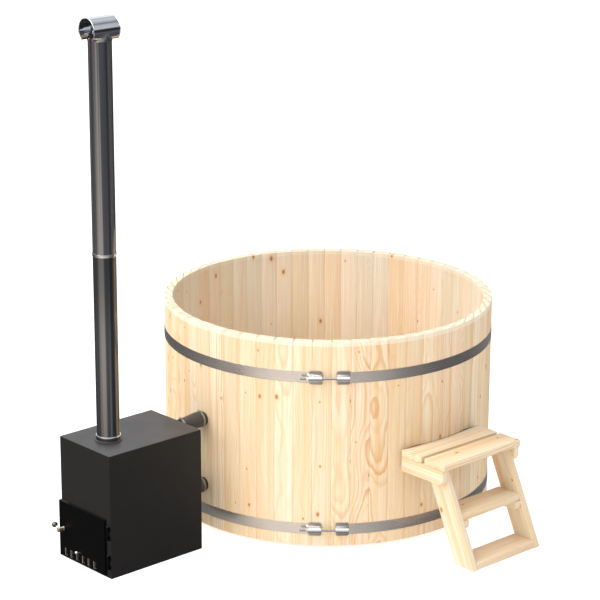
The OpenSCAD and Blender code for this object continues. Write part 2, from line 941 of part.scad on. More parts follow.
module hinge_plates() {
    third = hinge_l / 3;
    color("#161617") for (z = hinge_z_list) difference() {
        union() for (k = [0, 2]) {
            z0 = z - hinge_l / 2 + k * third;
            knuckle(z0, z0 + third);
            span([stove_front_x - leaf_t, leaf_end_y, z0], [stove_front_x, hinge_y, z0 + third]);
            span([hinge_x, hinge_y - leaf_t / 2, z0], [stove_front_x, hinge_y + leaf_t / 2, z0 + third]);
        }
        translate([hinge_x, hinge_y, z - hinge_l]) cylinder(r = pin_r + fit, h = 2 * hinge_l);
    }
}

module hinge_knuckles() {
    third = hinge_l / 3;
    color("#161617") for (z = hinge_z_list) difference() {
        z0 = z - third / 2 + knuckle_gap;
        z1 = z + third / 2 - knuckle_gap;
        union() {
            knuckle(z0, z1);
            span([hinge_x - leaf_t / 2, hinge_y, z0], [hinge_x + leaf_t / 2, door_near_y, z1]);
        }
        translate([hinge_x, hinge_y, z - hinge_l]) cylinder(r = pin_r + fit, h = 2 * hinge_l);
    }
}

module hinge_pins() {
    color("#8b8c8e") for (z = hinge_z_list) translate([hinge_x, hinge_y, z - hinge_l / 2]) {
        cylinder(r = pin_r, h = hinge_l);
        translate([0, 0, hinge_l]) cylinder(r = pin_head_r, h = pin_head_t);
    }
}

// Handle: boss, lever and end stud on a spindle through the door
module door_handle() {
    color("#c8b9a2") translate([0, handle_y, handle_z]) {
        rotate([0, -90, 0]) {
            translate([0, 0, -door_front_x + seat]) cylinder(r = boss_r, h = boss_l - seat);
            translate([0, 0, -tongue_x - tongue_t])
                cylinder(r = spindle_r, h = tongue_x + tongue_t - door_front_x + over);
            translate([0, 0, boss_l - door_front_x]) cylinder(r = stud_r, h = stud_l);
        }
        translate([lever_x, 0, 0]) rotate([lever_rise, 0, 0]) rotate([-90, 0, 0])
            cylinder(r = lever_r, h = lever_l);
    }
}

module handle_ball() {
    color("#dcdde0") translate([lever_x, handle_y, handle_z]) rotate([lever_rise, 0, 0])
        translate([0, lever_l, 0]) difference() {
            sphere(d = ball_d, $fn = 64);
            rotate([90, 0, 0]) cylinder(r = lever_r + fit, h = ball_d);
        }
}

// Tongue behind the door; it turns behind the keeper when the handle is turned down
module latch_tongue() {
    color("#77787a") translate([tongue_x, handle_y, handle_z]) difference() {
        union() {
            span([0, -tongue_w / 2, 0], [tongue_t, tongue_w / 2, tongue_l]);
            rotate([0, 90, 0]) cylinder(r = tongue_w / 2, h = tongue_t);
        }
        translate([-over, 0, 0]) rotate([0, 90, 0]) cylinder(r = spindle_r + fit, h = tongue_t + 2 * over);
    }
}

module latch_keeper() {
    color("#6a6b6d") {
        span([keeper_lip_x - keeper_t, keeper_foot_y - keeper_t, handle_z - keeper_half_h],
             [stove_front_x, keeper_foot_y, handle_z + keeper_half_h]);
        span([keeper_lip_x - keeper_t, keeper_foot_y - keeper_lip, handle_z - keeper_half_h],
             [keeper_lip_x, keeper_foot_y, handle_z + keeper_half_h]);
    }
}

// Chimney

module chimney_ring() {
    color("#d5d6d9") translate([flue_x, 0, 0])
        tube(pipe_r + seat + ring_t, pipe_r + seat, stove_h + collar_h, ring_h);
}

// Lower pipe, with a reduced end that goes up into the upper pipe
module lower_pipe() {
    spigot_r = pipe_r - pipe_wall - spigot_room;
    color("#6f7276") translate([flue_x, 0, 0]) rotate_extrude() polygon([
        [pipe_r - pipe_wall, stove_h], [pipe_r, stove_h], [pipe_r, joint_z],
        [spigot_r, joint_z + pipe_wall], [spigot_r, joint_z + spigot_l],
        [spigot_r - pipe_wall, joint_z + spigot_l], [spigot_r - pipe_wall, joint_z],
        [pipe_r - pipe_wall, joint_z - 2 * pipe_wall]]);
}

module joint_band() {
    color("#d5d6d9") translate([flue_x, 0, 0])
        tube(pipe_r + seat + joint_band_t, pipe_r + seat, joint_z - band_h / 2, band_h);
}

module upper_pipe() {
    low = joint_z + pipe_wall + seat;
    color("#6f7276") translate([flue_x, 0, 0])
        tube(pipe_r, pipe_r - pipe_wall, low, pipe_top_z - low);
}

// Open-ended cross tube on a socket that slips over the pipe
module rain_cap() {
    socket_r = pipe_r + seat + cap_socket_t;
    color("#c9ccd1") translate([flue_x, 0, 0]) difference() {
        union() {
            difference() {
                translate([-cap_l / 2, 0, cap_z]) rotate([0, 90, 0]) cylinder(r = cap_r, h = cap_l);
                span([-cap_l, -cap_r, cap_z - 2 * cap_r], [cap_l, cap_r, cap_z - cap_cut]);
            }
            translate([0, 0, cap_socket_z]) cylinder(r = socket_r, h = cap_z - cap_socket_z);
        }
        translate([-cap_l / 2 - over, 0, cap_z]) rotate([0, 90, 0])
            cylinder(r = cap_r - cap_wall, h = cap_l + 2 * over);
        translate([0, 0, cap_socket_z - over]) cylinder(r = pipe_r + seat, h = cap_z - cap_socket_z + over);
    }
}

// Steps. They are drawn with y as the distance out from the tub and turned to -Y.

module steps_frame() {
    mirror([0, 1, 0]) children();
}

// One stringer: a leaning board with level ends
module stringer(x) {
    back = foot_front - stringer_foot;
    rise = platform_under * stringer_run;
    color("#ecd2a4") steps_frame() translate([x, 0, 0]) rotate([90, 0, 90])
        linear_extrude(board_t) polygon([[back, 0], [foot_front, 0],
            [foot_front - rise, platform_under], [back - rise, platform_under]]);
}

module left_stringer() {
    stringer(-stringer_out);
}

module right_stringer() {
    stringer(stringer_in);
}

// Platform boards; the back one is cut to the round of the tub
module platform_boards() {
    half = platform_l / 2;
    color("#f0dcb4") steps_frame() difference() {
        for (y = [platform_back, platform_back + platform_w + platform_gap])
            span([-half, y, platform_under], [half, y + platform_w, platform_z]);
        translate([0, 0, platform_under - over])
            cylinder(r = tub_r + tub_scribe, h = board_t + 2 * over, $fn = 180);
    }
}

// Rails on the outer faces of the stringers, with rounded lower front ends
module platform_rails() {
    low = platform_under - rail_h;
    color("#e6c996") steps_frame() for (x = [-platform_l / 2, stringer_out]) translate([x, 0, 0])
        rotate([90, 0, 90]) linear_extrude(board_t) difference() {
            translate([platform_back, low]) square([rail_front - platform_back, rail_h]);
            difference() {
                translate([rail_front - rail_round, low - over])
                    square([rail_round + over, rail_round + over]);
                translate([rail_front - rail_round, low + rail_round]) circle(r = rail_round);
            }
        }
}

module tread() {
    color("#e9cb9b") steps_frame()
        span([seat - stringer_in, tread_front - tread_w, tread_z - board_t],
             [stringer_in - seat, tread_front, tread_z]);
}

module foot_board() {
    color("#e4c594") steps_frame()
        span([seat - stringer_in, foot_board_front - tread_w, 0],
             [stringer_in - seat, foot_board_front, board_t]);
}

// Cleats under the tread, on the inner faces of the stringers
module tread_cleats() {
    top = tread_z - board_t;
    low = top - cleat_h;
    back = tread_front - tread_w + cleat_back;
    front = tread_front + cleat_nose;
    color("#dcb985") steps_frame() for (x = [-stringer_in, stringer_in - board_t]) translate([x, 0, 0])
        rotate([90, 0, 90]) linear_extrude(board_t) difference() {
            translate([back, low]) square([front - back, cleat_h]);
            difference() {
                translate([front - cleat_round, low - over])
                    square([cleat_round + over, cleat_round + over]);
                translate([front - cleat_round, low + cleat_round]) circle(r = cleat_round);
            }
        }
}

// Round-headed screws on the inner faces of the stringers, into the rails
module step_screws() {
    y_mid = foot_front - platform_under * stringer_run - stringer_foot / 2;
    z = platform_under - rail_h / 2;
    color("#b9babb") steps_frame() for (side = [-1, 1], k = [-1, 1])
        translate([side * stringer_in, y_mid + k * stringer_w / 4, z]) rotate([0, -90 * side, 0])
            cylinder(r = screw_head_d / 2, h = screw_head_t);
}

staves_even();
staves_odd();
pipe_stave();
floor_boards();
drain_board();
floor_bearers();
bench_boards();
bench_legs();
upper_hoop();
lower_hoop();
upper_clamp_plates();
lower_clamp_plates();
tension_bolts();
tension_nuts();
drain_flange();
drain_nut();
drain_plug();
hot_fitting();
cold_fitting();
wall_gaskets();
inner_nuts();
hot_reducer();
cold_reducer();
hose_clamps();
hot_stub();
cold_stub();
stove_casing();
firebox();
smoke_shelf();
grate();
ash_pan();
flue_tube();
flue_collar();
fire_door();
door_liner();
door_rope();
air_slider();
air_knob();
hinge_plates();
hinge_knuckles();
hinge_pins();
door_handle();
handle_ball();
latch_tongue();
latch_keeper();
chimney_ring();
lower_pipe();
joint_band();
upper_pipe();
rain_cap();
left_stringer();
right_stringer();
platform_boards();
platform_rails();
tread();
foot_board();
tread_cleats();
step_screws();
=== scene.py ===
import math

import bmesh
import bpy
import numpy as np
from mathutils import Matrix, Vector


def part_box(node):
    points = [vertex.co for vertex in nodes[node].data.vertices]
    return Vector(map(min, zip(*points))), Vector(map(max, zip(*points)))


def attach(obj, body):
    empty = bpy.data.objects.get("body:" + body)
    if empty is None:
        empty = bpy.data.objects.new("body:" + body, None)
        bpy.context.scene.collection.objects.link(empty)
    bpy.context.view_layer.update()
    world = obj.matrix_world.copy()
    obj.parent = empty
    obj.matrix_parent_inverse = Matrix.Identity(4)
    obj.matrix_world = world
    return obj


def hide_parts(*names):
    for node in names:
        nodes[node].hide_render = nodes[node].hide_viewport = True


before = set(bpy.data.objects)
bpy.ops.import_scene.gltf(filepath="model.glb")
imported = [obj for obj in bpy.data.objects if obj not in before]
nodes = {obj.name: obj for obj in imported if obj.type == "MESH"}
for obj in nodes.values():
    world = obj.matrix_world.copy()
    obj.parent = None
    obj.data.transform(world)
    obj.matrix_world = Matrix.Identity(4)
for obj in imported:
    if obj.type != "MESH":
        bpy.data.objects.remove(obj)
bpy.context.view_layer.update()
scene = bpy.context.scene
print("frame loaded:", len(nodes), "nodes")

mm = 0.001  # the dictionaries below are in millimetres
toX, toY, upZ = np.eye(3)


# Camera, where the photograph was taken from

camera = {
    "place": (-7.3051, -7.7693, 4.2112),
    "heading": (0.6756, 0.7373),
    "pitchDown": 16.864,
    "roll": -0.227,
    "lens": 136.58,
    "sensor": 36.0,
    "reach": 100.0,
}


def makeCamera(c):
    # Level heading, pitched down, then rolled about the line of sight:
    # right cos(roll) + down sin(roll), and down cos(roll) - right sin(roll)
    pitch, roll = math.radians(c["pitchDown"]), math.radians(c["roll"])
    ahead = Vector((*c["heading"], 0)).normalized()
    right = ahead.cross(Vector(upZ))
    look = ahead * math.cos(pitch) - Vector(upZ) * math.sin(pitch)
    down = look.cross(right)
    turnedRight = right * math.cos(roll) + down * math.sin(roll)
    turnedDown = down * math.cos(roll) - right * math.sin(roll)
    data = bpy.data.cameras.new("camera")
    data.lens, data.sensor_width, data.sensor_fit = c["lens"], c["sensor"], "HORIZONTAL"
    data.clip_end = c["reach"]
    obj = bpy.data.objects.new("camera", data)
    turn = Matrix((turnedRight, -turnedDown, -look)).transposed()
    obj.matrix_world = Matrix.Translation(Vector(c["place"])) @ turn.to_4x4()
    scene.collection.objects.link(obj)
    scene.camera = obj


makeCamera(camera)


# Node graphs, one short call for each node. linear is value * factor + offset; stretched is
# noise with a scale of its own along each axis.

class Graph:
    def __init__(self, tree):
        self.tree = tree
        self.tree.nodes.clear()

    def node(self, kind, **settings):
        made = self.tree.nodes.new(kind)
        for key, value in settings.items():
            setattr(made, key, value)
        return made

    def plug(self, socket, value):
        if isinstance(value, bpy.types.NodeSocket):
            self.tree.links.new(value, socket)
        elif value is not None:
            socket.default_value = value

    def math(self, operation, a, b=None, c=None):
        made = self.node("ShaderNodeMath", operation=operation)
        for socket, value in zip(made.inputs, (a, b, c)):
            self.plug(socket, value)
        return made.outputs[0]

    def times(self, a, b):
        return self.math("MULTIPLY", a, b)

    def linear(self, value, factor, offset):
        return self.math("MULTIPLY_ADD", value, factor, offset)

    def vector(self, operation, a, b=None):
        made = self.node("ShaderNodeVectorMath", operation=operation)
        self.plug(made.inputs[0], a)
        if b is not None:
            self.plug(made.inputs["Scale" if operation == "SCALE" else 1], b)
        return made.outputs["Value" if operation in ("LENGTH", "DOT_PRODUCT") else 0]

    def split(self, v):
        made = self.node("ShaderNodeSeparateXYZ")
        self.plug(made.inputs[0], v)
        return made.outputs

    def join(self, x, y, z):
        made = self.node("ShaderNodeCombineXYZ")
        for socket, value in zip(made.inputs, (x, y, z)):
            self.plug(socket, value)
        return made.outputs[0]

    def named(self, kind, output, **sockets):
        made = self.node(kind)
        for name, value in sockets.items():
            self.plug(made.inputs[name], value)
        return made.outputs[output]

    def noise(self, v, scale, detail=3.0, rough=0.5):
        return self.named("ShaderNodeTexNoise", "Fac", Vector=v, Scale=scale, Detail=detail,
                          Roughness=rough)

    def carried(self, attribute):
        return self.node("ShaderNodeAttribute", attribute_name=attribute).outputs["Vector"]

    def facing(self, normal="Normal"):
        return self.split(self.node("ShaderNodeNewGeometry").outputs[normal])

    def stretched(self, x, y, z, scales, detail=3.0, rough=0.5):
        place = [self.times(value, scale) for value, scale in zip((x, y, z), scales)]
        return self.noise(self.join(*place), 1.0, detail, rough)

    def cells(self, v):
        made = self.node("ShaderNodeTexVoronoi")
        self.plug(made.inputs["Vector"], v)
        self.plug(made.inputs["Scale"], 1.0)
        return made.outputs

    def remap(self, value, a, b, c=0.0, d=1.0, smooth=False):
        way = "SMOOTHSTEP" if smooth else "LINEAR"
        made = self.node("ShaderNodeMapRange", interpolation_type=way)
        for socket, given in zip(made.inputs, (value, a, b, c, d)):
            self.plug(socket, given)
        return made.outputs[0]

    def mix(self, share, a, b, blend="MIX"):
        made = self.node("ShaderNodeMix", data_type="RGBA", blend_type=blend)
        for socket, value in zip((made.inputs[0], made.inputs[6], made.inputs[7]), (share, a, b)):
            self.plug(socket, value)
        return made.outputs[2]

    def ramp(self, value, stops):
        made = self.node("ShaderNodeValToRGB")
        self.plug(made.inputs[0], value)
        steps = made.color_ramp.elements
        while len(steps) < len(stops):
            steps.new(0.5)
        for step, (place, colour) in zip(steps, stops):
            step.position, step.color = place, colour
        return made.outputs[0]

    def bump(self, height, strength, distance):
        return self.named("ShaderNodeBump", "Normal", Height=height, Strength=strength,
                          Distance=distance)


def rgb(red, green, blue):
    # A colour given in display values from 0 to 255, as linear light
    return tuple(((v / 255 + 0.055) / 1.055) ** 2.4 if v > 10 else v / 255 / 12.92
                 for v in (red, green, blue)) + (1.0,)


def newMaterial(name, paint):
    # paint(graph) makes the nodes and returns the shader's sockets by name
    made = bpy.data.materials.new(name)
    made.use_nodes = True
    g = Graph(made.node_tree)
    shader = g.node("ShaderNodeBsdfPrincipled")
    for socket, value in paint(g).items():
        g.plug(shader.inputs[socket], value)
    out = g.node("ShaderNodeOutputMaterial")
    g.tree.links.new(shader.outputs[0], out.inputs[0])
    return made


def objectPlace(g):
    # Metres in the object's own frame, so a pattern rides with a part that moves
    return g.node("ShaderNodeTexCoord").outputs["Object"]


# Wood. A board carries where each point lies in it (across, through, along) in metres,
# and three random numbers of its own.

wood = {
    "cream": rgb(255, 241, 214),
    "honey": rgb(252, 227, 188),
    "blush": rgb(252, 223, 190),
    "straw": rgb(252, 232, 198),
    "amber": rgb(246, 208, 160),
    "latewood": rgb(229, 172, 116),
    "moss": rgb(240, 229, 198),
    "rose": rgb(252, 226, 203),
    "grey": rgb(230, 225, 206),
    "flame": rgb(250, 214, 170),
    "pale": rgb(255, 248, 232),
    "shadeOf": rgb(238, 232, 222),
    "knotRim": rgb(220, 160, 108),
    "knotBrown": rgb(182, 122, 76),
    "knotGrey": rgb(156, 128, 98),
    "albedo": 0.80,
    # Tones of whole boards and of the staves' inner faces, by one of the board's numbers
    "boardTones": [(0.0, "cream"), (0.15, "moss"), (0.3, "blush"), (0.45, "honey"), (0.6, "cream"),
                   (0.72, "rose"), (0.84, "straw"), (1.0, "amber")],
    "innerTones": [(0.0, "moss"), (0.2, "pale"), (0.38, "grey"), (0.52, "pale"), (0.64, "flame"),
                   (0.78, "pale"), (0.9, "rose"), (1.0, "grey")],
    "innerShare": 0.62,
    "innerFace": 0.0415,
    "sawnEnd": 0.4995,
    # Noise drawn out along a board: scale across, through and along it, detail, roughness
    "noises": {
        "wobble": (16.0, 16.0, 2.6, 3.0, 0.55),
        "broad": (34.0, 20.0, 0.9, 2.0, 0.5),
        "narrow": (150.0, 90.0, 2.4, 3.0, 0.6),
        "fibre": (900.0, 600.0, 24.0, 3.0, 0.65),
    },
    # Streaks: as this noise goes from a to b, the share of the tone goes from c to d, softly
    # or evenly
    "streaks": [("broad", 0.5, 0.68, 0.0, 0.8, True, "amber"),
                ("broad", 0.32, 0.48, 0.75, 0.0, True, "cream"),
                ("narrow", 0.48, 0.7, 0.0, 0.7, False, "amber"),
                ("narrow", 0.26, 0.45, 0.6, 0.0, False, "cream")],
    "fineStreaks": [("fibre", 0.35, 0.75, 0.0, 0.16, False, "latewood")],
    "innerStreaks": [("narrow", 0.52, 0.68, 0.0, 0.5, True, "flame"),
                     ("narrow", 0.34, 0.46, 0.5, 0.0, True, "pale")],
    "ringGap": 0.0085,
    "ringWobble": 0.014,
    "ringSwirl": 0.018,
    "knotCell": (0.085, 0.40),
    "knotShare": 0.5,
    "knotSize": (0.003, 0.0095),
    "knotSquat": 0.6,
    "knotWaver": 0.004,
    # Halo, rim and heart of a knot: full up to the first distance over its size, none beyond
    # the second, and the share and the tone of it
    "knotRound": [(1.0, 3.2, 0.5, "amber"), (0.7, 1.3, 0.85, "knotRim"),
                  (0.25, 0.95, 0.85, "heart")],
}


def paintWood(w, isStave=False):
    # Years' rings round a pith behind the board, streaks and fibres along it, and knots that
    # the rings bend round. A stave has tones of its own on its inner face; its sawn top end is
    # paler, partly the end grain's own tone and partly painted light where the rim faces up.
    def paint(g):
        own = g.carried("board")
        across, through, along = g.split(g.carried("grain"))
        r1, r2, r3 = g.split(own)
        sx, sy, sz = g.split(g.vector("SCALE", own, 61.0))

        def drawnOut(key, shiftX, shiftZ):
            scaleX, scaleY, scaleZ, detail, rough = w["noises"][key]
            place = g.join(g.linear(across, scaleX, shiftX), g.times(through, scaleY),
                           g.linear(along, scaleZ, shiftZ))
            return g.noise(place, 1.0, detail, rough)

        def tonesOf(key, number):
            return g.ramp(number, [(place, w[tone]) for place, tone in w[key]])

        def streaked(tone, key, within=None):
            for noise, a, b, c, d, softly, tint in w[key]:
                share = g.remap(noises[noise], a, b, c, d, softly)
                tone = g.mix(share if within is None else g.times(within, share), tone, w[tint])
            return tone

        shifts = {"wobble": (sy, sx), "broad": (sx, sy), "narrow": (sy, sz), "fibre": (sx, sz)}
        noises = {key: drawnOut(key, *shift) for key, shift in shifts.items()}

        # A knot is a small upright ellipse in some cells of a tall, narrow lattice. The factors
        # of the board's own numbers only set the boards apart.
        cellX, cellZ = w["knotCell"]
        lattice = g.join(g.linear(r2, 37.0, g.math("DIVIDE", across, cellX)),
                         g.linear(r1, 53.0, g.math("DIVIDE", along, cellZ)),
                         g.times(r3, 19.0))
        cell = g.cells(lattice)
        pick = g.split(cell["Color"])
        offX, offZ, _ = g.split(g.vector("SUBTRACT", lattice, cell["Position"]))
        waver = g.stretched(across, through, along, (260.0, 260.0, 200.0), 1.0)
        away = g.join(g.times(offX, cellX), g.times(offZ, cellZ * w["knotSquat"]), 0.0)
        away = g.vector("LENGTH", away)
        away = g.linear(g.math("SUBTRACT", waver, 0.5), w["knotWaver"], away)
        there = g.math("LESS_THAN", pick[0], w["knotShare"])
        size = g.remap(g.math("POWER", pick[1], 2.0), 0.0, 1.0, *w["knotSize"])
        nearness = g.math("DIVIDE", away, size)
        swirl = g.times(there, g.math("POWER", 2.718, g.times(nearness, -0.4)))

        # The pith wanders along the board; rings are its distance over the width of a year
        sway = g.noise(g.join(sx, sy, g.times(along, 1.5)), 1.0, 2.0)
        pithX = g.linear(g.math("SUBTRACT", sway, 0.5), 0.12, g.remap(r1, 0.0, 1.0, -0.10, 0.10))
        pithY = g.linear(sway, 0.14, g.remap(r2, 0.0, 1.0, -0.03, 0.06))
        fromPith = g.vector("LENGTH", g.join(g.math("SUBTRACT", across, pithX),
                                             g.math("SUBTRACT", through, pithY), 0.0))
        bent = g.linear(noises["wobble"], w["ringWobble"], fromPith)
        bent = g.linear(swirl, w["ringSwirl"], bent)
        rings = g.math("DIVIDE", bent, g.linear(r3, w["ringGap"] * 0.8, w["ringGap"] * 0.6))
        year = g.math("FRACT", rings)
        late = g.times(g.remap(year, 0.3, 0.86, 0.0, 1.0, True), g.remap(year, 0.88, 1.0, 1.0, 0.0))
        yearTone = g.noise(g.join(g.math("FLOOR", rings), sx, 0.0), 3.1, 0.0)

        tone = streaked(tonesOf("boardTones", r1), "streaks")
        shaded = g.mix(1.0, tone, w["shadeOf"], "MULTIPLY")
        tone = g.mix(g.remap(r3, 0.0, 0.5, 0.55, 0.0), tone, shaded)
        strength = g.times(g.remap(yearTone, 0.3, 0.7, 0.08, 0.9), g.remap(r2, 0.0, 1.0, 0.25, 1.0))
        tone = streaked(g.mix(g.times(late, strength), tone, w["latewood"]), "fineStreaks")
        if isStave:
            inside = g.remap(through, w["innerFace"] * 0.96, w["innerFace"], 0.0, 1.0)
            tone = g.mix(g.times(inside, w["innerShare"]), tone, tonesOf("innerTones", r2))
            tone = streaked(tone, "innerStreaks", inside)
            # The sawn top end goes towards pale: partly its own end-grain tone, partly painted
            # light on the upward rim
            endToneAndLight = g.remap(along, w["sawnEnd"] * 0.997, w["sawnEnd"], 0.0, 0.45)
            tone = g.mix(endToneAndLight, tone, w["pale"])

        heart = g.mix(g.math("GREATER_THAN", pick[2], 0.55), w["knotBrown"], w["knotGrey"])
        for full, none, share, tint in w["knotRound"]:
            part = g.times(there, g.remap(nearness, full, none, share, 0.0, True))
            tone = g.mix(part, tone, heart if tint == "heart" else w[tint])
        dull = (w["albedo"],) * 3 + (1.0,)
        height = g.linear(late, 0.5, g.times(noises["fibre"], 0.6))
        return {"Base Color": g.mix(1.0, tone, dull, "MULTIPLY"),
                "Roughness": g.remap(late, 0.0, 1.0, 0.62, 0.5),
                "Specular IOR Level": 0.2,
                "Normal": g.bump(height, 0.35, 0.0004)}
    return paint


pine = newMaterial("pineBoards", paintWood(wood))
pineStaves = newMaterial("pineStaves", paintWood(wood, True))


# Metals, paint, rubber and the rest

tones = {
    "band": (rgb(226, 217, 209), rgb(250, 242, 234)),
    "dust": rgb(96, 94, 94),
    "soot": [(0.3, rgb(22, 20, 19)), (0.55, rgb(48, 43, 40)), (0.75, rgb(84, 66, 54))],
    "iron": (rgb(52, 50, 49), rgb(110, 68, 46)),
    "brass": (rgb(226, 208, 184), rgb(186, 158, 122)),
    "rope": [(0.1, rgb(96, 90, 82)), (0.8, rgb(176, 168, 156))],
}


def paintBand(g):
    # Rolled steel: fine lines along the band, from its angle round the tub and its height
    x, y, z = g.split(objectPlace(g))
    angle = g.math("ARCTAN2", y, x)
    lines = g.stretched(angle, 0.0, z, (2.0, 0.0, 1300.0), 3.0, 0.6)
    cloud = g.stretched(angle, 0.0, z, (8.0, 0.0, 22.0), 4.0, 0.6)
    return {"Base Color": g.mix(cloud, *tones["band"]),
            "Metallic": 1.0,
            "Roughness": g.remap(lines, 0.3, 0.7, 0.22, 0.36),
            "Normal": g.bump(lines, 0.2, 0.0002)}


def paintPolished(tint, smooth, rough):
    # Bare metal with a faint smudge, where it is a little duller and rougher
    worn = tuple(c * 0.86 for c in tint[:3]) + (1.0,)

    def paint(g):
        at = objectPlace(g)
        smudge = g.noise(at, 22.0, 4.0, 0.6)
        fine = g.noise(at, 900.0, 2.0)
        return {"Base Color": g.mix(g.remap(smudge, 0.3, 0.8), tint, worn),
                "Metallic": 1.0,
                "Roughness": g.remap(smudge, 0.35, 0.75, smooth, rough),
                "Normal": g.bump(fine, 0.08, 0.0001)}
    return paint


def paintPipe(dark, light):
    # Stainless tube: draw marks, and long light and dark streaks up its length, a painted
    # reflection
    def paint(g):
        x, y, z = g.split(objectPlace(g))
        marks = g.stretched(x, y, z, (420.0, 420.0, 2.0), 3.0, 0.55)
        # Light and dark streaks in the base colour: painted reflection
        reflectionStreak = g.stretched(x, y, z, (62.0, 62.0, 0.25), 1.0, 0.5)
        tone = g.mix(g.remap(reflectionStreak, 0.4, 0.6, 0.0, 1.0, True), dark, light)
        middle = g.mix(0.5, dark, light)
        return {"Base Color": g.mix(g.remap(marks, 0.3, 0.7, 0.0, 0.25), tone, middle),
                "Metallic": 0.85,
                "Roughness": g.remap(marks, 0.3, 0.7, 0.04, 0.09),
                "Normal": g.bump(marks, 0.1, 0.0002)}
    return paint


cap = {
    "polish": (rgb(206, 208, 214), 0.07, 0.13),
    "neckTop": 2.421,
    "neckTone": rgb(100, 102, 108),
    "neckRough": 0.12,
}


def paintCap(g):
    # The cap's polished cross tube, on a short neck of the chimney's own greyer steel
    sockets = paintPolished(*cap["polish"])(g)
    neck = g.math("LESS_THAN", g.split(objectPlace(g))[2], cap["neckTop"])
    sockets["Base Color"] = g.mix(neck, sockets["Base Color"], cap["neckTone"])
    sockets["Roughness"] = g.linear(neck, cap["neckRough"], sockets["Roughness"])
    return sockets


def paintCoat(low, high, dusty, specular):
    # Heat-proof paint: fine orange peel, clouds, and a little dust on faces that look up
    def paint(g):
        at = objectPlace(g)
        peel = g.noise(at, 480.0, 3.0, 0.6)
        cloud = g.noise(at, 6.0, 4.0, 0.55)
        up = g.facing()[2]
        dust = g.times(g.remap(up, 0.6, 1.0), g.remap(cloud, 0.3, 0.8, 0.3 * dusty, dusty))
        return {"Base Color": g.mix(dust, g.mix(cloud, low, high), tones["dust"]),
                "Roughness": g.remap(peel, 0.3, 0.7, 0.4, 0.52),
                "Specular IOR Level": specular,
                "Normal": g.bump(peel, 0.12, 0.0003)}
    return paint


paintDoor = paintCoat(rgb(6, 6, 6), rgb(9, 8, 8), 0.1, 0.05)
slots = {  # the room of the air slots, how far a side must face along Y, and its bare metal
    "room": ((-1.5205, -1.5172), (-0.12, 0.15), (0.018, 0.060)),
    "sideways": 0.9,
    "metal": (rgb(168, 152, 140), rgb(200, 182, 168)),
}


def paintDoorFace(g):
    # The door's paint, with bare metal on the sawn sides of its air slots
    sockets = paintDoor(g)
    at = objectPlace(g)
    bare = g.math("GREATER_THAN", g.math("ABSOLUTE", g.facing("True Normal")[1]), slots["sideways"])
    for value, (low, high) in zip(g.split(at), slots["room"]):
        inRoom = g.times(g.math("GREATER_THAN", value, low), g.math("LESS_THAN", value, high))
        bare = g.times(bare, inRoom)
    metal = g.mix(g.noise(at, 300.0, 3.0), *slots["metal"])
    sockets["Base Color"] = g.mix(bare, sockets["Base Color"], metal)
    return sockets


def paintSoot(g):
    # Matt scale with clouds from soot to rust
    at = objectPlace(g)
    cloud = g.noise(at, 14.0, 5.0, 0.65)
    scale = g.noise(at, 160.0, 3.0, 0.6)
    return {"Base Color": g.ramp(cloud, tones["soot"]),
            "Roughness": g.remap(scale, 0.3, 0.7, 0.7, 0.95),
            "Normal": g.bump(scale, 0.4, 0.0006)}


def paintIron(g):
    # Rough casting with patches of rust
    at = objectPlace(g)
    grit = g.noise(at, 380.0, 4.0, 0.7)
    rust = g.noise(at, 12.0, 5.0, 0.65)
    return {"Base Color": g.mix(g.remap(rust, 0.5, 0.75, 0.0, 0.5), *tones["iron"]),
            "Metallic": 0.35,
            "Roughness": g.remap(grit, 0.3, 0.7, 0.6, 0.85),
            "Normal": g.bump(grit, 0.5, 0.0006)}


def paintMoulded(low, high, smooth, rough):
    # Rubber or plastic: slight clouds and a fine moulded grain
    def paint(g):
        at = objectPlace(g)
        cloud = g.noise(at, 28.0, 4.0, 0.6)
        grain = g.noise(at, 800.0, 2.0)
        return {"Base Color": g.mix(cloud, low, high),
                "Roughness": g.remap(grain, 0.3, 0.7, smooth, rough),
                "Normal": g.bump(grain, 0.16, 0.0002)}
    return paint


def paintBrass(g):
    # Turning marks round the boss, and a slight tarnish
    at = objectPlace(g)
    x, y, z = g.split(at)
    tarnish = g.noise(at, 60.0, 4.0, 0.6)
    turned = g.stretched(x, y, z, (1800.0, 60.0, 60.0), 2.0)
    return {"Base Color": g.mix(g.remap(tarnish, 0.35, 0.8), *tones["brass"]),
            "Metallic": 1.0,
            "Roughness": g.remap(turned, 0.3, 0.7, 0.2, 0.36),
            "Normal": g.bump(turned, 0.15, 0.0002)}


def paintRope(g):
    # Twisted strands, sin(1500 (y + z)), under a fuzz
    _, y, z = g.split(objectPlace(g))
    lay = g.math("SINE", g.times(g.math("ADD", y, z), 1500.0))
    fuzz = g.noise(objectPlace(g), 800.0, 3.0, 0.7)
    tone = g.linear(lay, 0.3, fuzz)
    return {"Base Color": g.ramp(tone, tones["rope"]),
            "Roughness": 0.95,
            "Normal": g.bump(tone, 0.8, 0.0012)}


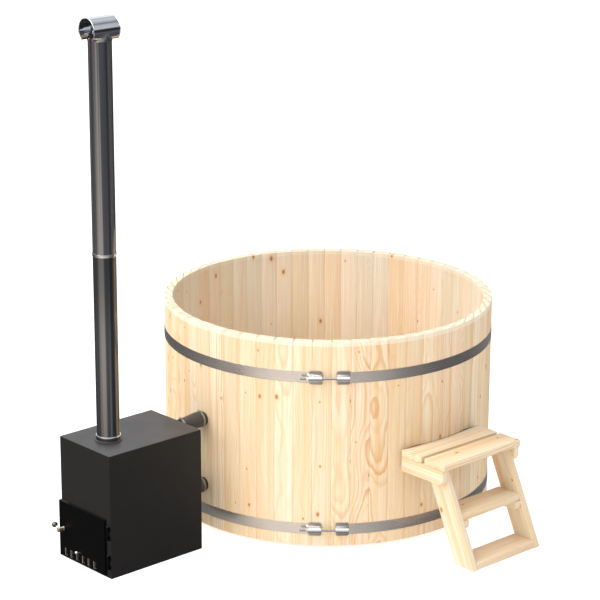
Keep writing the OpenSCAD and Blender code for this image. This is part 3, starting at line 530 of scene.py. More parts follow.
metals = {
    "band": newMaterial("rolledBand", paintBand),
    "chrome": newMaterial("chrome", paintPolished(rgb(232, 233, 236), 0.06, 0.14)),
    "ball": newMaterial("darkChrome", paintPolished(rgb(112, 112, 116), 0.05, 0.1)),
    "clamp": newMaterial("clampPlate", paintPolished(rgb(204, 200, 196), 0.26, 0.34)),
    "plain": newMaterial("plainSteel", paintPolished(rgb(168, 168, 170), 0.25, 0.4)),
    "pipe": newMaterial("chimneySteel", paintPipe(rgb(82, 86, 94), rgb(158, 154, 152))),
    # The lower pipe: the same streaked steel in darker tones
    "pipeLow": newMaterial("darkerChimneySteel", paintPipe(rgb(60, 63, 68), rgb(112, 110, 108))),
    "cap": newMaterial("capSteel", paintCap),
    "black": newMaterial("stoveBlack", paintCoat(rgb(18, 17, 16), rgb(26, 24, 23), 0.3, 0.5)),
    "door": newMaterial("doorBlack", paintDoor),
    "doorFace": newMaterial("doorFace", paintDoorFace),
    "soot": newMaterial("fireSteel", paintSoot),
    "iron": newMaterial("grateIron", paintIron),
    "rubber": newMaterial("reducerRubber",
                          paintMoulded(rgb(50, 47, 44), rgb(68, 64, 59), 0.34, 0.5)),
    "plastic": newMaterial("fittingPlastic",
                           paintMoulded(rgb(38, 38, 40), rgb(52, 52, 54), 0.34, 0.46)),
    "brass": newMaterial("handleBrass", paintBrass),
    "rope": newMaterial("fireRope", paintRope),
}
print("materials made")


# Surfaces. A skin is a stack of closed outlines joined by quads; it is worked out in metres.

def skin(rings, closed=False):
    # Point (i, j) of the grid is point j of ring i, and neighbours in i and j make a quad.
    # A closed skin joins its last ring to its first; an open one gets a flat cap at each end.
    rings = np.asarray(rings, float)
    count, around = rings.shape[:2]
    rows = np.arange(count if closed else count - 1)[:, None]
    cols = np.arange(around)[None, :]
    here, there = rows * around, (rows + 1) % count * around
    turn = (cols + 1) % around
    quads = np.stack([here + cols, here + turn, there + turn, there + cols], -1)
    quads = quads.reshape(-1, 4).tolist()
    if not closed:
        quads.append(list(range(around))[::-1])
        quads.append(list(range((count - 1) * around, count * around)))
    return rings.reshape(-1, 3), quads


def joined(parts):
    # Several skins as one: each one's faces are shifted past the points before it
    points, faces, start = [], [], 0
    for p, f in parts:
        points.append(p)
        faces += [[i + start for i in face] for face in f]
        start += len(p)
    return np.concatenate(points), faces


def setGrain(mesh, grain):
    # The two vectors that the wood's material reads at each point
    for key, values in zip(("grain", "board"), grain):
        made = mesh.attributes.new(key, "FLOAT_VECTOR", "POINT")
        made.data.foreach_set("vector", values.ravel())


def asPiece(name, mesh, material, body, stands, sharp):
    # Object of a mesh, at the origin, smooth up to the sharp angle in degrees
    mesh.materials.clear()
    mesh.materials.append(material)
    mesh.shade_smooth()
    mesh.set_sharp_from_angle(angle=math.radians(sharp))
    obj = bpy.data.objects.new(name, mesh)
    scene.collection.objects.link(obj)
    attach(obj, body)
    if stands:
        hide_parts(*stands)
    return obj


def piece(name, part, material, body="tub", stands=(), sharp=32.0, grain=None):
    # Object of a skin, riding on a body and standing for the CAD nodes that it replaces
    mesh = bpy.data.meshes.new(name)
    mesh.from_pydata(part[0].tolist(), [], part[1])
    mesh.update()
    if grain is not None:
        setGrain(mesh, grain)
    return asPiece(name, mesh, material, body, stands, sharp)


def fitted(name, parts, finish, node=None, body="tub"):
    # Piece of one or more skins in one of the finishes above
    return piece(name, joined(parts), metals[finish], body, [node] if node else ())


def copyOfNode(node, name, material, bevel, body="tub", grain=None):
    # A welded copy of a CAD node, with its edges rounded by a bevel
    mesh = nodes[node].data.copy()
    mesh.name = name
    mesh.transform(nodes[node].matrix_world)
    work = bmesh.new()
    work.from_mesh(mesh)
    bmesh.ops.remove_doubles(work, verts=work.verts, dist=1e-5)
    bmesh.ops.dissolve_limit(work, angle_limit=math.radians(1.0), verts=work.verts,
                             edges=work.edges)
    work.to_mesh(mesh)
    work.free()
    if grain is not None:
        setGrain(mesh, grain(np.array([v.co for v in mesh.vertices])))
    obj = asPiece(name, mesh, material, body, [node], 32.0)
    rounding = obj.modifiers.new("rounding", "BEVEL")
    rounding.width, rounding.segments = bevel * mm, 2
    rounding.limit_method, rounding.angle_limit = "ANGLE", math.radians(40)
    rounding.harden_normals = True
    return obj


def filleted(corners, radii, steps=4):
    # Outline with rounded corners, and the outward direction at each of its points. At a
    # corner with radius r the points are c + s r n(a): c lies where both sides, moved in by r,
    # meet; a runs from one side's normal to the next; s is -1 at an inner corner.
    corners = np.asarray(corners, float)
    ahead = np.roll(corners, -1, 0) - corners
    ahead /= np.linalg.norm(ahead, axis=1)[:, None]
    points, normals = [], []
    radii = np.broadcast_to(radii, len(corners))
    for corner, d1, d2, r in zip(corners, np.roll(ahead, 1, 0), ahead, radii):
        n1, n2 = np.array([d1[1], -d1[0]]), np.array([d2[1], -d2[0]])
        middle = (n1 + n2) / (1 + n1 @ n2)
        if r == 0:
            points.append(corner)
            normals.append(middle)
            continue
        start = math.atan2(n1[1], n1[0])
        sweep = (math.atan2(n2[1], n2[0]) - start + math.pi) % (2 * math.pi) - math.pi
        side = math.copysign(1, sweep)
        for a in np.linspace(start, start + sweep, steps):
            n = np.array([math.cos(a), math.sin(a)])
            points.append(corner - side * middle * r + side * n * r)
            normals.append(n)
    return np.array(points), np.array(normals)


def rectangle(x0, y0, x1, y1):
    # Its corners, counterclockwise
    return [[x0, y0], [x1, y0], [x1, y1], [x0, y1]]


def raised(flat, levels):
    # Flat outlines (x, y), each at a level of its own: (x, y, level)
    return np.concatenate([flat, np.broadcast_to(levels[:, None, None], flat.shape[:2] + (1,))], -1)


def turnedRound(r, a, h):
    # Radius r at angle a: (r cos a, r sin a, h)
    return np.stack([r * np.cos(a), r * np.sin(a), h + 0 * a], -1)


def slab(outline, low, thickness, edge, along="z"):
    # Outline carried through a thickness. At both ends it is drawn in by edge (1 - sin a) while
    # the height goes edge (1 - cos a), a quarter circle in two steps. along "x": the outline
    # is in (y, z) and the thickness runs along x; "y": the outline is in (x, z).
    points, normals = outline
    a = np.radians([0, 45, 90])
    inset, rise = edge * (1 - np.sin(a)), edge * (1 - np.cos(a))
    levels = low + np.concatenate([rise, thickness - rise[::-1]])
    insets = np.concatenate([inset, inset[::-1]])
    flat = points[None] - normals[None] * insets[:, None, None]
    solid = raised(flat, levels)
    if along == "x":
        solid = solid[..., [2, 0, 1]]
    if along == "y":
        solid = solid[::-1][..., [0, 2, 1]]
    return skin(solid * mm)


def held(points, beside=1.5):
    # The outline with a point beside each end of its long sides: p + (q - p) beside / length.
    # It keeps a corner's soft shading off the wall next to it.
    made = []
    for p, q in zip(points, np.roll(points, -1, axis=0)):
        length = np.hypot(*(q - p))
        made.append(p)
        if length > 8 * beside:
            made += [p + (q - p) * beside / length, q - (q - p) * beside / length]
    return np.array(made)


def lathe(outline, turns, centre=(0, 0, 0), axis="z", shape=None):
    # Closed outline of (radius, height) turned round an axis, with its height along that.
    # shape multiplies the radius at each angle, for those points of the outline that lie
    # outside its reach.
    r, h = held(outline[0]).T[:, :, None]
    a = np.linspace(0, 2 * np.pi, turns, endpoint=False)[None, :]
    if shape:
        r = r * np.where(r > shape["reach"], shape["factor"](a), 1.0)
    solid = turnedRound(r, a, h)
    if axis == "-x":
        solid = np.stack([-solid[..., 2], solid[..., 1], solid[..., 0]], -1)
    if axis == "y":
        solid = solid[..., [1, 2, 0]]
    return skin((solid + np.array(centre)) * mm, closed=True)


def tubeOutline(inner, outer, low, high, soft):
    # Section of a tube's wall with soft corners
    return filleted(rectangle(inner, low, outer, high), soft, 3)


def arcSweep(outline, angles):
    # Closed outline of (radius, height) carried round the tub from angle to angle
    r, h = held(outline[0])[::-1].T[:, None, :]
    a = np.radians(angles)[:, None]
    return skin(turnedRound(r, a, h) * mm)


def barAlong(path, flat, radius, turns=12, closed=False):
    # Round bar on a flat path: p + radius (u cos a + v sin a), where u is square to the
    # path's plane and v is square to u and to the path's direction
    path = np.asarray(path, float)
    way = np.roll(path, -1, 0) - np.roll(path, 1, 0) if closed else np.gradient(path, axis=0)
    way /= np.linalg.norm(way, axis=1)[:, None]
    u = np.broadcast_to(np.array(flat, float), way.shape)
    v = np.cross(way, u)
    a = np.linspace(0, 2 * np.pi, turns, endpoint=False)[None, :, None]
    around = u[:, None] * np.cos(a) + v[:, None] * np.sin(a)
    return skin((path[:, None] + radius * around) * mm, closed)


def threadedBar(r, length, threadEnd, pitch, depth, turns=20):
    # Bar along z from 0. Up to threadEnd its radius at height h and angle a is
    # r - depth |2 frac(h / pitch - a / 2 pi) - 1|; both its ends are drawn in by depth.
    h = np.concatenate([np.arange(0, threadEnd, pitch / 5), [threadEnd, length - 1, length]])
    h = h[:, None]
    a = np.linspace(0, 2 * np.pi, turns, endpoint=False)[None, :]
    wave = np.abs(2 * np.mod(h / pitch - a / (2 * np.pi), 1) - 1)
    radius = r - depth * wave * (h < threadEnd) - depth * ((h == length) + (h == 0))
    return skin(turnedRound(radius, a, h) * mm)


def moved(part, turn=np.eye(3), shift=(0, 0, 0)):
    # Each point p goes to turn p + shift; the shift is in millimetres
    return part[0] @ np.asarray(turn).T + np.array(shift) * mm, part[1]


def turnZ(degrees):
    # Turn about z: x goes to (cos, sin) and y to (-sin, cos)
    c, s = math.cos(math.radians(degrees)), math.sin(math.radians(degrees))
    return np.array([[c, -s, 0], [s, c, 0], [0, 0, 1]])


zToY = np.array([[0, 1, 0], [0, 0, 1], [1, 0, 0]])


def boardGrain(points, centre, across, through, along, seed):
    # Where a point lies in its board: its offset from the board's middle along three
    # directions, and the board's three random numbers, the same at every point
    local = (points - np.array(centre)) @ np.stack([across, through, along]).T
    own = np.broadcast_to(np.random.default_rng(seed).random(3), local.shape)
    return local, own.copy()


def flatBoard(outline, low, thickness, edge, along, length, seed):
    # A slab as a board: length is the direction of its fibres
    part = slab(outline, low, thickness, edge, along)
    through = np.eye(3)["xyz".index(along)]
    length = np.array(length, float)
    centre = (part[0].min(0) + part[0].max(0)) / 2
    return part, boardGrain(part[0], centre, np.cross(length, through), through, length, seed)


def boards(name, made, stands, material=pine):
    # One piece of several boards, each a (skin, grain) pair
    grain = [np.concatenate([g[k] for _, g in made]) for k in (0, 1)]
    return piece(name, joined([p for p, _ in made]), material, "tub", stands, 24.0, grain)


# Tub

tub = {
    "radius": 800.0,
    "thick": 42.0,
    "lift": 20.0,
    "top": 1020.0,
    "staves": 56,
    "joint": 0.3,
    "arris": 1.4,
    "endChamfer": 3.0,
    "grooveRadius": 770.0,
    "groove": (74.7, 117.3),
    "seed": 431,
}
pipeStave = tub["staves"] // 2


def staveOutline(t):
    # Plan of the stave on +X: flat inner side, two radial sides and an outer arc
    half = np.pi / t["staves"]
    inner, gap = t["radius"] - t["thick"], t["joint"] / 2
    a = np.linspace(-1, 1, 7) * (half - gap / t["radius"])
    outer = t["radius"] * np.stack([np.cos(a), np.sin(a)], 1)
    innerHalf = inner * np.tan(half) - gap
    corners = np.concatenate([[[inner, -innerHalf]], outer, [[inner, innerHalf]]])
    return filleted(corners, [t["arris"]] * 2 + [0.0] * 5 + [t["arris"]] * 2, 3)


def stave(t, i):
    # The plan carried from the bottom end to the top, drawn in at both ends, with its
    # inner points no nearer than the groove's radius between the groove's heights
    points, normals = staveOutline(t)
    c, (g0, g1) = t["endChamfer"], t["groove"]
    low, top = t["lift"], t["top"]
    levels = np.array([low, low + c / 3, low + c, g0, g0, g1, g1, top - c, top - c / 3, top])
    insets = np.array([c, c * 0.35, 0, 0, 0, 0, 0, 0, c * 0.35, c])
    inGroove = np.array([0, 0, 0, 0, 1, 1, 0, 0, 0, 0])[:, None]
    flat = points[None] - normals[None] * insets[:, None, None]
    flat[..., 0] = np.maximum(flat[..., 0], inGroove * t["grooveRadius"])
    rings = raised(flat, levels)
    turn = turnZ(360 * i / t["staves"])
    part = moved(skin(rings * mm), turn)
    out, side = turn @ [1, 0, 0], turn @ [0, 1, 0]
    middle = out * t["radius"] * mm + upZ * 0.5
    return part, boardGrain(part[0], middle, side, -out, upZ, t["seed"] + i)


def pipeStaveGrain(points):
    # As in stave(), for the one on -X
    return boardGrain(points, upZ * 0.5 - toX * tub["radius"] * mm, -toY, toX, upZ,
                      tub["seed"] + pipeStave)


staveSets = (("stavesEvenBoards", "staves_even"), ("stavesOddBoards", "staves_odd"))
for first, (name, node) in enumerate(staveSets):
    places = [i for i in range(first, tub["staves"], 2) if i != pipeStave]
    boards(name, [stave(tub, i) for i in places], [node], pineStaves)
copyOfNode("pipe_stave", "pipeStaveBoard", pineStaves, 1.2, grain=pipeStaveGrain)
print("staves made")


floorSet = {
    "radius": 769.7,
    "low": 75.0,
    "thick": 42.0,
    "count": 14,
    "joint": 0.3,
    "edge": 1.5,
    "bearers": (-450.0, 0.0, 450.0),
    "bearerWide": 70.0,
    "bearerReach": 746.0,
    "seed": 900,
}


def floorBoard(f, i):
    # Strip of the floor's circle between two lines along Y: y = -+ sqrt(R^2 - x^2)
    wide = 2 * f["radius"] / f["count"]
    x = np.linspace(i * wide + f["joint"] / 2, (i + 1) * wide - f["joint"] / 2, 9) - f["radius"]
    y = np.sqrt(f["radius"] ** 2 - x ** 2)
    outline = np.concatenate([np.stack([x, -y], 1), np.stack([x, y], 1)[::-1]])
    return flatBoard(filleted(outline, 0), f["low"], f["thick"], f["edge"], "z", toY, f["seed"] + i)


def bearer(f, k):
    # Beam along X, as long as the circle it must stay in lets it be: sqrt(R^2 - y^2)
    y, half = f["bearers"][k], f["bearerWide"] / 2
    reach = math.sqrt(f["bearerReach"] ** 2 - (abs(y) + half) ** 2)
    section = filleted(rectangle(y - half, 0, y + half, f["low"]), 3)
    part = slab(section, -reach, 2 * reach, 2, "x")
    return part, boardGrain(part[0], (0, y * mm, 0), toY, upZ, toX, f["seed"] + 40 + k)


drainBoard = floorSet["count"] // 2


def drainBoardGrain(points):
    # As in floorBoard(), for the one that the drain goes through
    middle = floorSet["low"] + floorSet["thick"] / 2
    centre = toX * floorSet["radius"] / floorSet["count"] * mm + upZ * middle * mm
    return boardGrain(points, centre, toX, upZ, toY, floorSet["seed"] + drainBoard)


plainBoards = [i for i in range(floorSet["count"]) if i != drainBoard]
boards("floorPlanks", [floorBoard(floorSet, i) for i in plainBoards], ["floor_boards"])
copyOfNode("drain_board", "drainPlank", pine, 1.2, grain=drainBoardGrain)
boards("bearerBeams", [bearer(floorSet, k) for k in range(3)], ["floor_bearers"])


bench = {
    "sides": 6,
    "inner": 399.5,
    "outer": 649.5,
    "top": 430.0,
    "thick": 28.0,
    "joint": 3.0,
    "legFrom": 464.8,
    "legTo": 720.0,
    "legThick": 34.0,
    "floor": 117.0,
    "soft": 4.0,
    "seed": 700,
}


def turnedBoard(board, degrees):
    # The grain was taken before the turn, so it turns with the board
    return moved(board[0], turnZ(degrees)), board[1]


def benchBoard(b, k):
    # Side k of the bench: its ends lie on the lines between the sides, less half a joint
    half = math.pi / b["sides"]
    gap = b["joint"] / 2 / math.cos(half)
    w0, w1 = b["inner"] * math.tan(half) - gap, b["outer"] * math.tan(half) - gap
    corners = [[b["inner"], -w0], [b["outer"], -w1], [b["outer"], w1], [b["inner"], w0]]
    board = flatBoard(filleted(corners, b["soft"]), b["top"] - b["thick"], b["thick"],
                      b["soft"] * 0.8, "z", toY, b["seed"] + k)
    return turnedBoard(board, 360 / b["sides"] * k)


def benchLeg(b, k):
    # Upright board under the joint between two sides
    half, under = b["legThick"] / 2, b["top"] - b["thick"]
    outline = filleted(rectangle(b["legFrom"], b["floor"], b["legTo"], under), b["soft"])
    board = flatBoard(outline, -half, 2 * half, b["soft"] * 0.8, "y", upZ, b["seed"] + 20 + k)
    return turnedBoard(board, 360 / b["sides"] * (k + 0.5))


boards("benchSeat", [benchBoard(bench, k) for k in range(bench["sides"])], ["bench_boards"])
boards("benchPanels", [benchLeg(bench, k) for k in range(bench["sides"])], ["bench_legs"])
print("floor and bench made")


# Hoops, clamps and bolts. They are drawn on +X and turned to the clamp's angle.

hoops = {
    "heights": {"upper": 850.0, "lower": 104.0},
    "inner": 800.3,
    "outer": 801.8,
    "wide": 52.0,
    "angle": -132.5,
    "halfGap": 33.0,
    "plateLong": 62.0,
    "plateTall": 64.0,
    "plateInner": 802.1,
    "plateOuter": 805.1,
    "plateRound": 8.0,
    "barrelAt": 817.1,
    "barrelRound": 12.0,
    "web": 12.0,
    "boltRound": 5.0,
    "boltFrom": -135.0,
    "boltTo": 77.0,
    "thread": (62.0, 2.4, 0.8),
    "nutFlats": 17.0,
    "nutThick": 9.0,
    "washer": (11.0, 2.0),
}


def hoop(h, z):
    # The circle, less the gap under the bolt on each side of the clamp's angle
    half = h["wide"] / 2
    gone = math.degrees(math.asin(h["halfGap"] / h["outer"])) / 360
    angles = np.linspace(0, 360, 289)[1:-1] * (1 - 2 * gone) + 360 * gone
    section = tubeOutline(h["inner"], h["outer"], z - half, z + half, 0.6)
    return arcSweep(section, h["angle"] + angles)


def plateSpan(h, side):
    # Arc length at which the plate on this side of the bolt begins, and where it ends
    start = h["halfGap"] if side > 0 else -h["halfGap"] - h["plateLong"]
    return start, start + h["plateLong"]


def clampPlate(h, z, side):
    # Rounded plate wrapped on the tub: arc length s and height z go to the angle s / radius
    start, end = plateSpan(h, side)
    tall, r = h["plateTall"] / 2, h["plateRound"]
    s = start + np.linspace(0, h["plateLong"], 6)
    corners = [[x, -tall] for x in s] + [[x, tall] for x in s[::-1]]
    radii = [r, 0, 0, 0, 0, r, r, 0, 0, 0, 0, r]
    thick = h["plateOuter"] - h["plateInner"]
    points, faces = slab(filleted(corners, radii), h["plateInner"], thick, 1.0)
    plate = turnedRound(points[:, 2], points[:, 0] / (h["plateOuter"] * mm), points[:, 1]), faces
    web = slab(filleted(rectangle(start + 1, -h["web"] / 2, end - 1, h["web"] / 2), 1.0),
               h["plateOuter"] - 2, h["barrelAt"] - h["plateOuter"] - 3, 0.5, "x")
    return moved(joined([plate, web]), turnZ(h["angle"]), (0, 0, z))


def clampBarrel(h, z, side):
    # The plate's end, rolled round the bolt
    start, end = plateSpan(h, side)
    section = rectangle(h["boltRound"] + 0.3, start, h["barrelRound"], end)
    outline = filleted(section, [0.6, 2.2, 2.2, 0.6])
    return moved(lathe(outline, 48, (h["barrelAt"], 0, 0), "y"), turnZ(h["angle"]), (0, 0, z))


def onBolt(h, z, part):
    # A part drawn along z from the left end of the left plate
    part = moved(part, zToY, (h["barrelAt"], plateSpan(h, -1)[0], 0))
    return moved(part, turnZ(h["angle"]), (0, 0, z))


def hexFactor(a):
    # Distance to a hexagon's side over its flat radius: 1 / cos of the angle from the flat
    return 1 / np.cos(np.mod(a, np.pi / 3) - np.pi / 6)


def tensionNut(h):
    # Hexagon on its washer, past the end of the left plate
    flat, bore = h["nutFlats"] / 2, h["boltRound"] + 0.2
    back = h["washer"][1]
    outline = filleted(rectangle(bore, -back - h["nutThick"], flat, -back), [0.5, 0.7, 0.7, 0.5], 3)
    nut = lathe(outline, 48, shape={"reach": bore + 1.5, "factor": hexFactor})
    disc = lathe(tubeOutline(bore, h["washer"][0], -back, 0, 0.4), 40)
    return joined([nut, disc])


def hoopSet(h):
    # Each hoop with its clamp, and both bolts and nuts as one piece each
    levels, sides = h["heights"].values(), (-1, 1)
    for name, z in h["heights"].items():
        fitted(name + "Band", [hoop(h, z)], "band", name + "_hoop")
        plates = [clampPlate(h, z, side) for side in sides]
        fitted(name + "Clamp", plates, "clamp", name + "_clamp_plates")
        fitted(name + "Barrels", [clampBarrel(h, z, side) for side in sides], "chrome")
    bolt = threadedBar(h["boltRound"], h["boltTo"] - h["boltFrom"], *h["thread"])
    bolt = moved(bolt, shift=(0, 0, h["boltFrom"] - plateSpan(h, -1)[0]))
    nut = tensionNut(h)
    fitted("tensionRods", [onBolt(h, z, bolt) for z in levels], "plain", "tension_bolts")
    fitted("tensionHexNuts", [onBolt(h, z, nut) for z in levels], "chrome", "tension_nuts")


hoopSet(hoops)
print("hoops made")


# Floor drain

drain = {
    "at": (54.979, 225.0),
    "floor": 117.0,
    "flange": 40.0,
    "tube": 25.7,
    "way": 20.0,
    "tail": 24.0,
}


def drainPieces(d):
    # Flange on the floor, its tube through the board with a barbed tail, and the ring nut
    at, floor, top = (*d["at"], 0), d["floor"], d["floor"] + 4
    way, tail, tube, flange = d["way"], d["tail"], d["tube"], d["flange"]
    outline = [[way, 33], [tail, 33], [tail, 40], [tail - 1.2, 44], [tail, 51], [tail - 1.2, 55],
               [tube, 61], [tube, floor], [flange, floor], [flange, top], [way + 4, top],
               [way, top - 3]]
    outline = filleted(outline, [0.5, 1, 0, 0, 0, 0, 0, 0, 0.5, 2, 0.5, 0.5], 3)
    fitted("drainFlangeTube", [lathe(outline, 72, at)], "plain", "drain_flange")
    nut = filleted(rectangle(tube + 0.1, floor - 54, 35.0, floor - 42), [0.5, 1.5, 1.5, 0.5], 3)
    lobes = {"reach": tube + 2, "factor": lambda a: 1.04 + 0.045 * np.cos(8 * a)}
    fitted("drainRingNut", [lathe(nut, 96, at, shape=lobes)], "plain", "drain_nut")


drainPieces(drain)


def drainPlug(d):
    # Turned plug with a dished head, and a lifting ring standing in it
    top = d["floor"] + 4
    r = d["way"] - 0.05
    outline = filleted([[0.01, top - 22], [r - 2, top - 22], [r, top - 18], [r, top], [25, top],
                        [25, top + 7], [18, top + 7], [14, top + 6], [0.01, top + 6]],
                       [0, 1, 0.5, 0, 1, 2.5, 0.5, 0.5, 0], 3)
    body = lathe(outline, 64, (*d["at"], 0))
    a = np.linspace(0, 2 * np.pi, 40, endpoint=False)
    ring = np.stack([d["at"][0] + 12 * np.cos(a), d["at"][1] + 0 * a, top + 19 + 12 * np.sin(a)], 1)
    return [body, barAlong(ring, toY, 2.5, 12, True)]


fitted("drainRubberPlug", drainPlug(drain), "rubber", "drain_plug", "plug")


# Water pipes. Each is turned about its own line; heights run from the tub's axis towards -X.

pipes = {
    "heights": {"hot": 558.0, "cold": 228.0},
    "way": 20.0,
    "thread": (25.0, 730.0),
    "gasket": (31.9, 800.3, 803.3),
    "flange": (32.0, 811.3),
    "neck": (28.0, 818.3),
    "tail": (32.7, 848.3),
    "bootWide": 37.0,
    "bootNarrow": 28.0,
    "bootWall": 4.0,
    "boot": (818.3, 849.3, 925.3, 943.3),
    "bead": 1.3,
    "clampWide": 11.0,
    "clampThick": 1.2,
    "clampAt": ((818.8, 37.3), (932.0, 28.3)),
    "stub": (23.7, 913.3, 985.0),
    "stubRing": (30.0, 962.0, 970.0),
    "innerNut": (36.0, 743.0, 757.9),
}


def wallFitting(p, z):
    # Thread through the stave, flange on its gasket, neck, and a barbed tail in the reducer
    (tr, t0), (fr, f1), (nr, n1), (er, e1) = p["thread"], p["flange"], p["neck"], p["tail"]
    way, f0 = p["way"], p["gasket"][2]
    outline = [[way, t0], [tr, t0], [tr, f0], [fr, f0], [fr, f1], [nr, f1], [nr, n1],
               [er - 1.5, n1], [er, n1 + 5], [er - 1.2, n1 + 9], [er, n1 + 16],
               [er - 1.2, n1 + 20], [er - 0.4, e1], [way, e1]]
    radii = [1, 1.5, 0, 1, 2, 1, 0.5, 0.5, 0.8, 0, 0.8, 0, 1, 1]
    return lathe(filleted(outline, radii, 3), 64, (0, 0, z), "-x")


def reducer(p, z):
    # Rubber sleeve with a bead where its wide part meets the cone, and soft shoulders on its cone
    s0, s1, s2, s3 = p["boot"]
    big, small, wall, bead = p["bootWide"], p["bootNarrow"], p["bootWall"], p["bead"]
    outline = [[big - wall, s0], [big, s0], [big, s1 - 12], [big + bead, s1 - 10],
               [big + bead, s1 - 4], [small + 3, s2 - 14], [small, s2], [small, s3],
               [small - wall, s3], [small - wall, s2], [big - wall, s1]]
    return lathe(filleted(outline, [1, 1.2, 1, 2, 6, 14, 4, 1.2, 1, 6, 6], 5), 72, (0, 0, z), "-x")


def hoseClamp(p, start, r):
    # Band, the worm's housing on top of it, the worm and its hexagon head
    wide, thick = p["clampWide"], p["clampThick"]
    band = lathe(tubeOutline(r, r + thick, start, start + wide, 0.4), 72, axis="-x")
    middle = start + wide / 2
    at = (-middle, 0, r + 4.4)
    base = slab(filleted(rectangle(-7.5, r + 0.6, 7.5, r + 3.4), 0.8), -middle - 4.6, 9.2, 0.6, "x")
    worm = lathe(filleted(rectangle(0.01, -7.5, 4.0, 7.5), [0, 0.8, 0.8, 0], 3), 24, at, "y")
    head = lathe(filleted(rectangle(0.01, 7.4, 3.6, 11), [0, 0.3, 0.6, 0], 3), 24, at, "y",
                 {"reach": 1, "factor": lambda a: 0.9 * hexFactor(a)})
    return joined([band, base, worm, head])


def stoveStub(p, z):
    # Tube from the stove's back with its welded ring
    way, (r, s0, s1), (rr, r0, r1) = p["way"], p["stub"], p["stubRing"]
    outline = [[way, s0], [r, s0], [r, r0], [rr, r0], [rr, r1], [r, r1], [r, s1], [way, s1]]
    return lathe(filleted(outline, [1, 1, 1.5, 2, 0.5, 0, 1, 1], 3), 64, (0, 0, z), "-x")


def innerNut(p, z):
    # Ring nut with eight lobes: r (1.03 + 0.05 cos 8a)
    r, s0, s1 = p["innerNut"]
    outline = filleted(rectangle(p["thread"][0] + 0.1, s0, r, s1), [1, 2.5, 1.5, 0.5], 4)
    lobes = {"reach": p["thread"][0] + 2, "factor": lambda a: 1.03 + 0.05 * np.cos(8 * a)}
    return lathe(outline, 96, (0, 0, z), "-x", lobes)


def pipeSet(p):
    # The hot run above the cold one, with what both have in common as one piece each
    for name, z in p["heights"].items():
        fitted(name + "WallFitting", [wallFitting(p, z)], "plastic", name + "_fitting")
        fitted(name + "Boot", [reducer(p, z)], "rubber", name + "_reducer")
        fitted(name + "StoveStub", [stoveStub(p, z)], "black", name + "_stub")
    heights = p["heights"].values()
    r, g0, g1 = p["gasket"]
    gasket = tubeOutline(p["thread"][0] + 0.1, r, g0, g1, 0.6)
    seals = [lathe(gasket, 64, (0, 0, z), "-x") for z in heights]
    fitted("wallSeals", seals, "rubber", "wall_gaskets")
    fitted("innerRingNuts", [innerNut(p, z) for z in heights], "plastic", "inner_nuts")
    clamps = joined([hoseClamp(p, *at) for at in p["clampAt"]])
    bands = [moved(clamps, shift=(0, 0, z)) for z in heights]
    fitted("hoseBands", bands, "plain", "hose_clamps")


pipeSet(pipes)
print("pipes made")


# Stove. Sheet and plate parts keep their drawn shape; their edges are rounded.

unseen = ("stoveShell", "doorPanel")  # these cast no shadow of the lamps and aren't in the hoops
sheetParts = {  # node: (piece, finish, edge radius, body)
    "stove_casing": ("stoveShell", "black", 1.3, "tub"),
    "firebox": ("fireChamber", "soot", 1.2, "tub"),
    "smoke_shelf": ("smokeBaffle", "soot", 1.0, "tub"),
    "grate": ("fireGrate", "iron", 1.6, "tub"),
    "ash_pan": ("ashTray", "plain", 0.5, "tub"),
    "fire_door": ("doorPanel", "doorFace", 1.0, "door"),
    "door_liner": ("doorHeatShield", "soot", 0.9, "door"),
    "air_slider": ("draughtSlider", "plain", 0.4, "slider"),
    "hinge_plates": ("hingeLeaves", "door", 0.5, "tub"),
    "hinge_knuckles": ("hingeBarrels", "door", 0.5, "door"),
    "latch_tongue": ("latchCatch", "plain", 0.8, "latch"),
    "latch_keeper": ("latchStrike", "plain", 0.8, "tub"),
    "rain_cap": ("capTube", "cap", 0.4, "tub"),
}

for node, (name, finish, edge, body) in sheetParts.items():
    made = copyOfNode(node, name, metals[finish], edge, body)
    made.visible_glossy = made.visible_shadow = name not in unseen

doorSet = {
    "ropeRound": 6.3,
    "ropeCorner": 14.0,
    "knobAt": (43.0, 66.0),
    "knobFrom": 1510.6,
    "knobHead": 1527.0,
    "knobRound": 8.0,
    "knobStem": 3.0,
    "hingeAt": (-1513.0, -168.0),
    "hingeHeights": (78.0, 220.0),
    "hingeLong": 66.0,
    "pin": 2.5,
    "pinHead": (4.5, 2.5),
    "handleAt": (148.0, 152.0),
    "spindle": (4.0, 1506.3),
    "boss": (10.0, 1521.3, 1556.0),
    "stud": (4.0, 1561.0),
    "leverAt": 1548.0,
    "lever": (4.0, 38.0),
    "leverRise": 25.0,
    "ball": 14.0,
}


def doorRope(d):
    # Round rope on a rounded rectangle in the door's plane, inside the rope node's box
    low, high = (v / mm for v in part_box("door_rope"))
    r = d["ropeRound"]
    corners = rectangle(low[1] + r, low[2] + r, high[1] - r, high[2] - r)
    flat, _ = filleted(corners, d["ropeCorner"], 8)
    path = np.stack([np.full(len(flat), (low[0] + high[0]) / 2), *flat.T], 1)
    return barAlong(path, toX, r * 0.98, 16, True)


def airKnob(d):
    # Stem, neck and a domed head
    s0, head, r, stem = d["knobFrom"], d["knobHead"], d["knobRound"], d["knobStem"]
    outline = [[0.01, s0], [stem, s0], [stem, head - 3], [stem + 1.5, head], [r, head],
               [r, head + 5.5], [r * 0.72, head + 11.2], [0.01, head + 13.8]]
    outline = filleted(outline, [0, 0.5, 1, 0.5, 1.5, 4, 4, 0], 5)
    return lathe(outline, 40, (0, *d["knobAt"]), "-x")


def hingePins(d):
    # Pin through the barrels, with a head on top
    (hr, ht), half = d["pinHead"], d["hingeLong"] / 2
    outline = filleted([[0.01, -half], [d["pin"], -half], [d["pin"], half], [hr, half],
                        [hr, half + ht], [0.01, half + ht]], [0, 0.6, 0, 0.3, 1.2, 0], 3)
    return [lathe(outline, 28, (*d["hingeAt"], z)) for z in d["hingeHeights"]]


